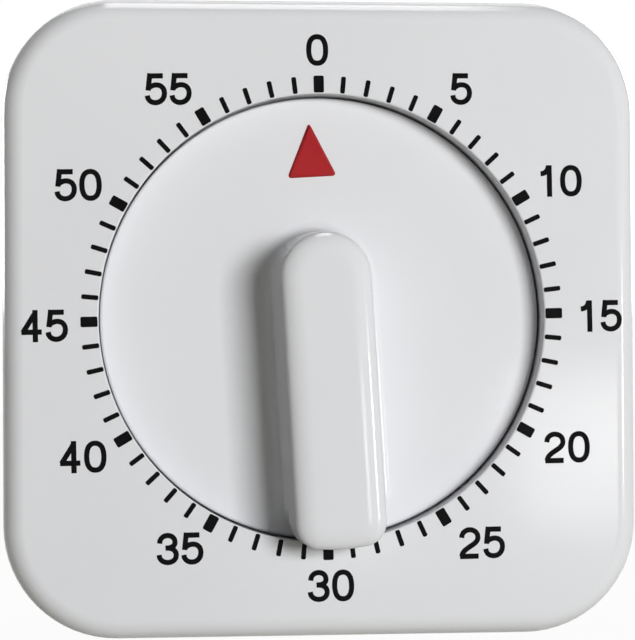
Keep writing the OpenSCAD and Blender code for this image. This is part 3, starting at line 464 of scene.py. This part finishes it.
digit_lines = {
    "0": [bends(((0, 1), (0.75, 1), (1, 0.55), (1, 0)),
                ((1, 0), (1, -0.55), (0.75, -1), (0, -1)),
                ((0, -1), (-0.75, -1), (-1, -0.55), (-1, 0)),
                ((-1, 0), (-1, 0.55), (-0.75, 1), (0, 1)))],
    "1": [[(0.3, full_high), (0.3, -full_high)],
          bend((-0.75, 0.56), (-0.2, 0.56), (0.14, 0.75), (0.2, full_high - 0.05))],
    "2": [bends(((-0.96, 0.4), (-0.96, 1.2), (0.98, 1.2), (0.98, 0.42)),
                ((0.98, 0.42), (0.98, -0.2), (-0.9, -0.3), (-0.98, -1))),
          [(-1.2, -1), (1.02, -1)]],
    "3": [bends(((-0.92, 0.42), (-0.92, 1.2), (0.88, 1.2), (0.88, 0.52)),
                ((0.88, 0.52), (0.88, 0.2), (0.5, 0.08), (-0.25, 0.08))),
          bends(((-0.1, 0.08), (0.6, 0.08), (1, -0.12), (1, -0.46)),
                ((1, -0.46), (1, -1.18), (-1, -1.18), (-1, -0.42)))],
    "4": [[(0.4, full_high), (0.4, -full_high)],
          [(-1.2, -0.45), (1.15, -0.45)],
          [(0.42, 0.98), (-1.02, -0.46)]],
    "5": [[(-0.78, 1), (0.86, 1)],
          [(-0.66, full_high), (-0.9, -0.1)],
          bends(((-0.9, 0), (-0.5, 0.45), (1, 0.5), (1, -0.3)),
                ((1, -0.3), (1, -1.22), (-1, -1.22), (-1, -0.46)))],
}


def drawn_line(points):
    """One line of ink with square ends along a row of points, as wide as the stroke, very flat."""
    start_x, start_z = points[0]
    steps = [((x1 - x0) * half_wide, 0, (z1 - z0) * half_high)
             for (x0, z0), (x1, z1) in zip(points, points[1:])]
    chain("line", (start_x * half_wide, 0, start_z * half_high), steps)
    bpy.ops.mesh.remove_doubles(threshold=weld)
    bpy.ops.object.mode_set(mode="OBJECT")
    bpy.ops.object.convert(target="CURVE")
    line = bpy.context.object
    line.data.bevel_depth = digit_stroke / 2
    line.data.bevel_resolution = 2
    line.data.use_fill_caps = True
    bpy.ops.object.convert(target="MESH")
    line = bpy.context.object
    line.scale.y = ink_height / (digit_stroke / 2)
    fix_place(line)
    return line


digit_moves = {digit: [] for digit in digit_lines}
for value, (x, z) in number_places.items():
    word = str(value)
    for i, digit in enumerate(word):
        along = x * mm + digit_pitch * (i - (len(word) - 1) / 2)
        digit_moves[digit].append(round_dial(0) @ Matrix.Translation((along, face_y, z * mm)))
digits = []
for digit, lines in digit_lines.items():
    drawn = joined("digit_" + digit, [drawn_line(points) for points in lines])
    digits.append(repeat(drawn, digit_moves[digit]))
dial_numbers = joined("dial_numbers", digits)
dress(dial_numbers, black_ink, "case", "white_plastic")


# Clockwork frame: two round brass plates, stamped, held apart by four turned steel pillars.
# The pillars are riveted into the front plate and take nuts behind the rear one; four screws hold
# the front plate's ears on the case's posts.
brass_dark = (0.50, 0.33, 0.11, 1.0)
brass_light = (0.68, 0.49, 0.20, 1.0)
steel_dark = (0.36, 0.37, 0.39, 1.0)
steel_light = (0.58, 0.59, 0.61, 1.0)


def stamped_brass():
    """Rolled sheet brass: long grain from the rolls, some tarnish and a satin gloss."""
    finish = new_finish("stamped_brass", roughness=0.35, metallic=1.0)
    rolled = grain(finish, per_metre=260, detail=5, stretch=(1, 1, 14))
    tint(finish, grain(finish, per_metre=90, detail=6), brass_dark, brass_light)
    polish(finish, rolled, low=0.24, high=0.42)
    relief(finish, rolled, strength=0.12, depth=0.02 * mm)
    return finish


def bright_steel():
    """Bright free-cutting steel with fine tool marks round the turned faces."""
    finish = new_finish("bright_steel", roughness=0.3, metallic=1.0)
    tool_marks = grain(finish, per_metre=500, detail=4, stretch=(1, 9, 1))
    tint(finish, grain(finish, per_metre=160, detail=5), steel_dark, steel_light)
    polish(finish, tool_marks, low=0.2, high=0.38)
    relief(finish, tool_marks, strength=0.1, depth=0.015 * mm)
    return finish


def coat(finish, *nodes):
    """Puts a finish on CAD nodes that keep their own shape."""
    for name in nodes:
        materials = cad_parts[name].data.materials
        materials.clear()
        materials.append(finish)


brass = stamped_brass()
steel = bright_steel()
coat(brass, "front_plate", "rear_plate")
coat(steel, "plate_pillars", "pillar_nuts", "movement_screws")


# Mainspring and its post: a strip of hardened spring steel, blued and wound in a flat spiral.
# Its outer eye is hooked on a steel post in the rear plate.
blue_dark = (0.045, 0.06, 0.12, 1.0)
blue_light = (0.13, 0.16, 0.25, 1.0)


def blued_strip():
    """Blued spring strip: temper colours that drift from blue to straw-grey along the coil."""
    finish = new_finish("blued_strip", roughness=0.25, metallic=1.0)
    rolled = grain(finish, per_metre=600, detail=4, stretch=(1, 12, 1))
    tint(finish, grain(finish, per_metre=120, detail=4), blue_dark, blue_light)
    polish(finish, rolled, low=0.16, high=0.34)
    return finish


coat(blued_strip(), "mainspring")
coat(steel, "spring_post")


# Main arbor: the turned steel shaft that the dial is pressed on, with its retaining clip.
# A brass release cam, a dished friction washer and a brass collar are pressed on it.
coat(steel, "main_arbor", "arbor_clip", "clutch_washer")
coat(brass, "release_cam", "clutch_collar")


# Going train: brass wheels with five round windows, hobbed teeth, on steel arbors with cut pinions.
# The second arbor also carries the eight-pointed strike star.
coat(brass, "main_wheel", "second_wheel", "strike_star", "third_wheel")
coat(steel, "second_arbor", "third_arbor")


# Escapement: a brass escape wheel with pointed teeth, and a brass balance wheel on a steel staff.
# The pallet anchor is a steel stamping with two pins.
coat(brass, "escape_wheel", "balance_wheel")
coat(steel, "escape_arbor", "balance_staff", "pallet_anchor")


# Striking work: three stamped steel levers riveted on the hammer's arbor, and a turned brass head
# riveted to the end of the longest. The star rocks it, and the cam holds it off the bell.
coat(steel, "hammer_arbor", "release_lever", "strike_lever", "hammer_arm")
coat(brass, "hammer_head")


# Bell: a shallow steel cup, drawn and nickel-plated, behind the rear plate.
# A hexagon nut holds it on a steel post that is riveted into the plate.
nickel_dark = (0.52, 0.50, 0.46, 1.0)
nickel_light = (0.68, 0.66, 0.62, 1.0)


def nickel_plate():
    """Nickel plate over drawn steel: bright and slightly warm, with faint drawing rings."""
    finish = new_finish("nickel_plate", roughness=0.14, metallic=1.0)
    drawn = grain(finish, per_metre=300, detail=5, stretch=(1, 6, 1))
    tint(finish, grain(finish, per_metre=70, detail=4), nickel_dark, nickel_light)
    polish(finish, drawn, low=0.08, high=0.2)
    return finish


coat(nickel_plate(), "bell")
coat(steel, "bell_post", "bell_nut")


# Rear cover: a shallow tray in the same white ABS that closes the case, located by a lip inside
# its wall. It has sunk seats for four screws, a cup for the magnet and five slots that let the
# bell be heard.
cover_low, cover_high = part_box("rear_cover")
rear_y = cover_high.y
lip_y = cover_low.y
magnet_low, magnet_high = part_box("rear_magnet")
magnet_radius = (magnet_high.x - magnet_low.x) / 2
rear_round = 2.5 * mm
lip_gap = 0.15 * mm
lip_wall = 1.2 * mm
boss_radius = 3.75 * mm
head_seat_radius = 2.55 * mm
head_seat_depth = 2.1 * mm
head_seat_y = rear_y - head_seat_depth
screw_clear_radius = 1.35 * mm
magnet_cup_wall = 1.4 * mm
magnet_skin = 1.2 * mm
magnet_fit = 0.02 * mm
mouth_chamfer = 0.25 * mm
slot_count = 5
slot_width = 1.4 * mm
slot_length = 8.0 * mm
slot_pitch = 3.4 * mm
slots_middle_x = 4.0 * mm
slots_gap = 3.5 * mm
slots_top_z = axis_z - magnet_radius - slots_gap
slot_rounding = 0.49 * slot_width
slot_steps = 6


def sink(name, radius, bottom):
    """A round cutter from the rear face down to a level, with a small chamfer at its mouth."""
    mouth = radius + mouth_chamfer
    profile = [(0, bottom), (radius, bottom), (radius, rear_y - mouth_chamfer),
               (mouth, rear_y), (mouth, rear_y + overshoot), (0, rear_y + overshoot)]
    return turned(name, profile, centre=(0, 0), steps=64)


def sound_slot():
    """The cutter for one slot: an upright block whose four edges are rounded to half its width."""
    bpy.ops.object.select_all(action="DESELECT")
    bpy.ops.mesh.primitive_cube_add(size=1)
    slot = bpy.context.object
    slot.scale = (slot_width, wall + 2 * overshoot, slot_length)
    fix_place(slot)
    bpy.ops.object.mode_set(mode="EDIT")
    pick_lengthwise(slot)
    bpy.ops.mesh.bevel(offset=slot_rounding, segments=slot_steps, affect="EDGES")
    bpy.ops.object.mode_set(mode="OBJECT")
    return slot


rear_shell = rounded_block(
    "rear_shell", case_width, corner_radius, parting_y, rear_y, seam_round, rear_round)
lip_inset = wall + lip_gap
lip = rounded_block("lip", case_width - 2 * lip_inset, corner_radius - lip_inset,
                    lip_y, parting_y + overshoot)
combine(rear_shell, lip, "UNION")
inner_inset = lip_inset + lip_wall
inside = rounded_block("inside", case_width - 2 * inner_inset, corner_radius - inner_inset,
                       lip_y - overshoot, rear_y - wall)
combine(rear_shell, inside, "DIFFERENCE")
in_wall_y = rear_y - wall / 2
screw_bosses = rods("screw_bosses", corner_places, boss_radius, parting_y, in_wall_y)
combine(rear_shell, screw_bosses, "UNION")
magnet_cup = rods("magnet_cup", [(0, 0)], magnet_radius + magnet_cup_wall,
                  magnet_low.y - magnet_skin, in_wall_y, steps=96)
combine(rear_shell, magnet_cup, "UNION")
magnet_sink = repeat(sink("magnet_sink", magnet_radius + magnet_fit, magnet_low.y),
                     [Matrix.Translation((0, 0, axis_z))])
combine(rear_shell, magnet_sink, "DIFFERENCE")
head_sinks = repeat(sink("head_sinks", head_seat_radius, head_seat_y),
                    [Matrix.Translation((x, 0, axis_z + z)) for x, z in corner_places])
combine(rear_shell, head_sinks, "DIFFERENCE")
screw_holes = rods("screw_holes", corner_places, screw_clear_radius,
                   parting_y - overshoot, head_seat_y + overshoot)
combine(rear_shell, screw_holes, "DIFFERENCE")
first_slot_x = slots_middle_x - (slot_count - 1) * slot_pitch / 2
slots_middle_z = slots_top_z - slot_length / 2
slot_moves = [Matrix.Translation((first_slot_x + i * slot_pitch, in_wall_y, slots_middle_z))
              for i in range(slot_count)]
combine(rear_shell, repeat(sound_slot(), slot_moves), "DIFFERENCE")
smooth(rear_shell)
dress(rear_shell, white_plastic, "case", "white_plastic", "rear_cover")


# Magnet and case screws: a pressed ferrite disc glued in the cover's cup, and four pan-head steel
# screws that go through the cover into the posts of the front case.
ferrite_dark = (0.022, 0.022, 0.024, 1.0)
ferrite_light = (0.06, 0.06, 0.063, 1.0)


def sintered_ferrite():
    """Sintered ferrite: charcoal grey, dull and finely pitted."""
    finish = new_finish("sintered_ferrite", roughness=0.7)
    pits = grain(finish, per_metre=1600, detail=6)
    tint(finish, pits, ferrite_dark, ferrite_light)
    polish(finish, pits, low=0.55, high=0.8)
    relief(finish, pits, strength=0.35, depth=0.04 * mm)
    return finish


coat(sintered_ferrite(), "rear_magnet")
coat(steel, "case_screws")


# Dial: a round white ABS moulding with a rolled edge, pressed on the flats of the main arbor.
# A tall grip bar stands on it, round at one end, its drafted walls running into the dial in a
# fillet; the other end steps out over the edge of the well.
mark_low, mark_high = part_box("pointer_mark")
dial_face_y = mark_high.y
bar_top_y = knob_low.y
dial_rest = math.radians(3.2)
dial_radius = 24.4 * mm
dial_edge = 0.4 * mm
dial_wall = 1.5 * mm
hub_radius = 4.5 * mm
arbor_fit_radius = 1.615 * mm
arbor_flat = 1.265 * mm
arbor_hole_depth = 5.7 * mm
arbor_hole_y = dial_face_y - arbor_hole_depth
bar_half = 4.85 * mm
bar_end_z = 9.1 * mm
bar_sink = 0.5 * mm
bar_draft = 0.6 * mm
bar_edge_width = 2.4 * mm
bar_edge_height = 1.2 * mm
bar_fillet = 1.1 * mm
bar_corner = 2.6 * mm
tail_foot = 23.7 * mm
tail_reach = 25.1 * mm
tail_level = 3.5 * mm
tail_step = 0.5 * mm
tail_zone = 0.8 * tail_foot
bar_height = dial_face_y - bar_top_y
dial_edge_steps = 10
round_end_steps = 24
tail_corner_steps = 8
tail_parts = 8
fillet_steps = 8
bar_edge_steps = 12


def on_dial(piece):
    """Carries a piece that is modelled about the dial's middle to its place on the timer."""
    piece.location.z = axis_z
    piece.rotation_euler.y = -dial_rest
    fix_place(piece)


def front_of(piece):
    """The level of the foremost point of a mesh in edit mode."""
    return min(vert.co.y for vert in bmesh.from_edit_mesh(piece.data).verts)


def step_in(bar, inward, forward, hold_tail):
    """One ring of the bar: its front face moves inward and forward; the tail may stay in place."""
    bpy.ops.mesh.inset(thickness=inward, depth=forward)
    if hold_tail:
        move_tail(bar, inward)


def move_tail(bar, outward):
    """Moves the tail end of the bar's front face outward along the bar."""
    level = front_of(bar)
    pick(bar, "VERT", lambda co: co.y < level + weld and co.z < -tail_zone)
    bpy.ops.transform.translate(value=(0, 0, -outward))
    pick(bar, "FACE", lambda co: co.y < level + weld)


def spread(height):
    """How far the wall of the bar stands out from its top at a height over the dial."""
    return bar_draft * (1 - height / bar_height)


def grip_bar():
    """The grip bar, drawn up ring by ring from its outline on the dial."""
    half = bar_half + bar_draft + bar_fillet
    corner = bar_corner + bar_draft + bar_fillet
    top = bar_end_z - bar_half + half
    bpy.ops.object.select_all(action="DESELECT")
    bpy.ops.mesh.primitive_plane_add(size=1, rotation=(math.pi / 2, 0, 0))
    bar = bpy.context.object
    bar.name = "grip_bar"
    bar.scale = (2 * half, top + tail_foot, 1)
    bar.location = (0, dial_face_y + bar_sink, (top - tail_foot) / 2)
    fix_place(bar)
    bpy.ops.object.mode_set(mode="EDIT")
    pick(bar, "VERT", lambda co: co.z > 0)
    bpy.ops.mesh.bevel(offset=half, segments=round_end_steps, affect="VERTICES")
    pick(bar, "VERT", lambda co: co.z < 0 and abs(co.z + tail_foot) < weld)
    bpy.ops.mesh.bevel(offset=corner, segments=tail_corner_steps, affect="VERTICES")
    bpy.ops.mesh.select_all(action="SELECT")
    bpy.ops.mesh.remove_doubles(threshold=weld)
    pick(bar, "EDGE", lambda co: abs(co.z + tail_foot) < weld)
    bpy.ops.mesh.subdivide(number_cuts=tail_parts - 1)
    flat_half = half - corner
    sag = tail_foot - math.sqrt(tail_foot ** 2 - flat_half ** 2)
    for i in range(1, tail_parts):
        x = flat_half * (2 * i / tail_parts - 1)
        pick(bar, "VERT", lambda co: abs(co.z + tail_foot) < weld and abs(co.x - x) < 10 * weld)
        bpy.ops.transform.translate(value=(0, 0, -sag * (1 - (x / flat_half) ** 2)))
    bpy.ops.mesh.select_mode(type="FACE")
    bpy.ops.mesh.select_all(action="SELECT")
    bpy.ops.mesh.extrude_region_move(TRANSFORM_OT_translate={"value": (0, -bar_sink, 0)})
    fillet = arc((bar_fillet, bar_fillet), bar_fillet, 270, 180, fillet_steps)
    for (out, low), (inn, high) in zip(fillet, fillet[1:]):
        step_in(bar, out - inn + spread(low) - spread(high), high - low, hold_tail=True)
    tail_top = tail_level + tail_step
    shoulder = bar_height - bar_edge_height
    step_in(bar, spread(bar_fillet) - spread(tail_level), tail_level - bar_fillet, hold_tail=True)
    step_in(bar, spread(tail_level) - spread(tail_top), tail_step, hold_tail=True)
    move_tail(bar, tail_reach - tail_foot - sag)
    step_in(bar, spread(tail_top) - spread(shoulder), shoulder - tail_top, hold_tail=True)
    edge = arc((0, 0), 1, 0, 90, bar_edge_steps)
    for (out, low), (inn, high) in zip(edge, edge[1:]):
        step_in(bar, (out - inn) * bar_edge_width, (high - low) * bar_edge_height, hold_tail=False)
    bpy.ops.object.mode_set(mode="OBJECT")
    return bar


dial_profile = [
    (0, dial_back_y), (hub_radius, dial_back_y), (hub_radius, dial_face_y + dial_wall),
    (dial_radius - dial_wall, dial_face_y + dial_wall), (dial_radius - dial_wall, dial_back_y),
    (dial_radius, dial_back_y)]
dial_profile += arc((dial_radius - dial_edge, dial_face_y + dial_edge), dial_edge,
                    0, -90, dial_edge_steps)
dial_profile += [(0, dial_face_y)]
dial = turned("dial", dial_profile, centre=(0, 0), steps=160)
combine(dial, grip_bar(), "UNION")
arbor_hole = turned("arbor_hole", [
    (0, arbor_hole_y), (arbor_fit_radius, arbor_hole_y),
    (arbor_fit_radius, dial_back_y + overshoot), (0, dial_back_y + overshoot)],
    centre=(0, 0), steps=48)
bpy.ops.object.mode_set(mode="EDIT")
for side in (-1, 1):
    bpy.ops.mesh.select_all(action="SELECT")
    bpy.ops.mesh.bisect(plane_co=(0, 0, side * arbor_flat), plane_no=(0, 0, side),
                        clear_outer=True, use_fill=True)
bpy.ops.object.mode_set(mode="OBJECT")
combine(dial, arbor_hole, "DIFFERENCE")
on_dial(dial)
smooth(dial)
dress(dial, white_plastic, "dial", "white_plastic", "dial_knob")


# Pointer: a small raised triangle in red ABS with round corners and a chamfer all round.
# It is glued on the dial so that its tip points at the minutes. Its sizes are those of the sharp
# triangle, before its corners are rounded.
pointer_width = 5.55 * mm
pointer_height = 6.1 * mm
pointer_tip = 21.75 * mm
pointer_rise = mark_high.y - mark_low.y
pointer_edge = 0.22 * mm
pointer_corner = 0.5 * mm
pointer_corner_steps = 4
unit_triangle_width, unit_triangle_height = math.sqrt(3), 1.5
red_gloss = 0.25
red_dark = (0.33, 0.010, 0.014, 1.0)
red_light = (0.38, 0.014, 0.018, 1.0)


def red_abs():
    """Red ABS: even colour with a faint mottle, glossy, with the fine ripple of the mould."""
    finish = new_finish("red_abs", roughness=0.3, gloss=red_gloss)
    tint(finish, grain(finish, per_metre=300, detail=4), red_dark, red_light)
    polish(finish, grain(finish, per_metre=500, detail=4), low=0.26, high=0.4)
    relief(finish, grain(finish, per_metre=1500, detail=2), strength=0.08, depth=0.03 * mm)
    return finish


bpy.ops.object.select_all(action="DESELECT")
bpy.ops.mesh.primitive_circle_add(
    vertices=3, radius=1, fill_type="NGON", rotation=(math.pi / 2, 0, 0))
pointer = bpy.context.object
pointer.name = "pointer"
tip_over_middle = pointer_height / unit_triangle_height
pointer.scale = (pointer_width / unit_triangle_width, tip_over_middle, 1)
pointer.location = (0, dial_face_y, pointer_tip - tip_over_middle)
fix_place(pointer)
bpy.ops.object.mode_set(mode="EDIT")
bpy.ops.mesh.select_all(action="SELECT")
bpy.ops.mesh.bevel(offset=pointer_corner, segments=pointer_corner_steps, affect="VERTICES")
bpy.ops.mesh.select_mode(type="FACE")
bpy.ops.mesh.select_all(action="SELECT")
bpy.ops.mesh.extrude_region_move(TRANSFORM_OT_translate={"value": (0, -pointer_rise, 0)})
bpy.ops.mesh.select_all(action="SELECT")
bpy.ops.mesh.normals_make_consistent(inside=False)
pick(pointer, "EDGE", lambda co: co.y < dial_face_y - pointer_rise / 2)
bpy.ops.mesh.bevel(offset=pointer_edge, segments=1, affect="EDGES")
bpy.ops.object.mode_set(mode="OBJECT")
on_dial(pointer)
dress(pointer, red_abs(), "dial", "pointer_red", "pointer_mark")


# Stage: a pale cream floor under the timer and a white surround. A soft key lamp stands on the
# right, three small cards show only as reflections in the gloss, and three weaker lamps stand
# behind the timer for views of its back.
floor_half = 1.5
floor_cream = (0.43, 0.42, 0.33, 1)
floor_roughness = 0.9
floor_glow = 0.96
white_glow = 1.0
surround_light = 0.03
surround_tint = (1.0, 0.98, 0.88, 1)


def stage_white(tree, plain, white):
    """Mixes a plain look with white wherever the camera, a gloss or a clear piece looks at it."""
    path = tree.nodes.new("ShaderNodeLightPath")
    shown = path.outputs["Is Camera Ray"]
    for ray in ("Is Glossy Ray", "Is Transmission Ray"):
        either = tree.nodes.new("ShaderNodeMath")
        either.operation = "MAXIMUM"
        tree.links.new(shown, either.inputs[0])
        tree.links.new(path.outputs[ray], either.inputs[1])
        shown = either.outputs["Value"]
    mix = tree.nodes.new("ShaderNodeMixShader")
    tree.links.new(shown, mix.inputs["Fac"])
    tree.links.new(plain, mix.inputs[1])
    tree.links.new(white, mix.inputs[2])
    return mix.outputs["Shader"]


world = bpy.data.worlds.new("surround")
bpy.context.scene.world = world
world.use_nodes = True
tree = world.node_tree
plain = tree.nodes["Background"]
plain.inputs["Color"].default_value = surround_tint
plain.inputs["Strength"].default_value = surround_light
white = tree.nodes.new("ShaderNodeBackground")
white.inputs["Color"].default_value = (1, 1, 1, 1)
white.inputs["Strength"].default_value = white_glow
shown = stage_white(tree, plain.outputs["Background"], white.outputs["Background"])
tree.links.new(shown, tree.nodes["World Output"].inputs["Surface"])

bpy.ops.object.select_all(action="DESELECT")
bpy.ops.mesh.primitive_plane_add(size=2 * floor_half)
floor = bpy.context.object
floor.name = "floor"
floor_paint = bpy.data.materials.new("floor_paint")
floor_paint.use_nodes = True
floor_tree = floor_paint.node_tree
floor_shader = floor_tree.nodes["Principled BSDF"]
floor_shader.inputs["Base Color"].default_value = floor_cream
floor_shader.inputs["Roughness"].default_value = floor_roughness
glow = floor_tree.nodes.new("ShaderNodeEmission")
glow.inputs["Strength"].default_value = white_glow
faint_shadow = floor_tree.nodes.new("ShaderNodeMixShader")
faint_shadow.inputs["Fac"].default_value = floor_glow
floor_tree.links.new(floor_shader.outputs["BSDF"], faint_shadow.inputs[1])
floor_tree.links.new(glow.outputs["Emission"], faint_shadow.inputs[2])
shown = stage_white(floor_tree, floor_shader.outputs["BSDF"], faint_shadow.outputs["Shader"])
floor_tree.links.new(shown, floor_tree.nodes["Material Output"].inputs["Surface"])
floor.data.materials.append(floor_paint)


def direction(azimuth, elevation):
    """Unit vector from the timer; azimuth 0 is in front of the dial, and right is positive."""
    a, e = math.radians(azimuth), math.radians(elevation)
    return Vector((math.sin(a) * math.cos(e), -math.cos(a) * math.cos(e), math.sin(e)))


def lamp(name, azimuth, elevation, distance, width, height, watts):
    """A soft rectangular lamp that faces the middle of the dial."""
    light = bpy.data.lights.new(name, "AREA")
    light.shape = "RECTANGLE"
    light.size = width
    light.size_y = height
    light.energy = watts
    stand = bpy.data.objects.new(name, light)
    bpy.context.collection.objects.link(stand)
    towards = direction(azimuth, elevation)
    stand.location = Vector((0, face_y, axis_z)) + towards * distance
    stand.rotation_euler = towards.to_track_quat("Z", "Y").to_euler()
    return stand


key_lamp = lamp("key_lamp", azimuth=25, elevation=1, distance=0.9,
                width=0.36, height=0.4, watts=11.6)
key_lamp.visible_glossy = False
low_card = lamp("low_card", azimuth=20, elevation=-5.8, distance=0.214,
                width=0.028, height=0.03, watts=0.023)
edge_strip = lamp("edge_strip", azimuth=50, elevation=-1.7, distance=0.5,
                  width=0.05, height=0.056, watts=0.34)
top_card = lamp("top_card", azimuth=90, elevation=87, distance=0.45,
                width=0.14, height=0.3, watts=1.2)
top_card.rotation_euler = (0, 0, 0)
for card in (low_card, edge_strip, top_card):
    card.visible_diffuse = False
lamp("rear_right_lamp", azimuth=150, elevation=9, distance=0.9, width=0.5, height=0.24, watts=3.1)
lamp("rear_left_lamp", azimuth=-138, elevation=9, distance=0.9, width=0.5, height=0.24, watts=3.3)
lamp("rear_top_lamp", azimuth=180, elevation=52, distance=0.8, width=0.5, height=0.5, watts=1.4)


# Camera: slightly left of the dial's axis and a little below it, 0.3 m away and rolled by a
# fraction of a degree, so that the bar shows in perspective as in the photograph.
photo_width = 635
view_azimuth = -6.18
view_elevation = -0.96
view_distance = 0.300
view_roll = math.radians(0.31)
focal_pixels = 2707
sensor = 36.0
nearest_view = 0.01
aim_left = 0.33 * mm
aim_forward = 8.0 * mm
aim_down = 0.22 * mm
target = Vector((-aim_left, -aim_forward, axis_z - aim_down))

camera_data = bpy.data.cameras.new("camera")
camera_data.sensor_fit = "HORIZONTAL"
camera_data.sensor_width = sensor
camera_data.lens = focal_pixels / photo_width * sensor
camera_data.clip_start = nearest_view
camera = bpy.data.objects.new("camera", camera_data)
bpy.context.collection.objects.link(camera)
back = direction(view_azimuth, view_elevation)
camera.location = target + back * view_distance
level_view = back.to_track_quat("Z", "Y").to_matrix()
camera.rotation_euler = (level_view @ Matrix.Rotation(-view_roll, 3, "Z")).to_euler()
bpy.context.scene.camera = camera
bpy.context.scene.view_settings.view_transform = "Standard"
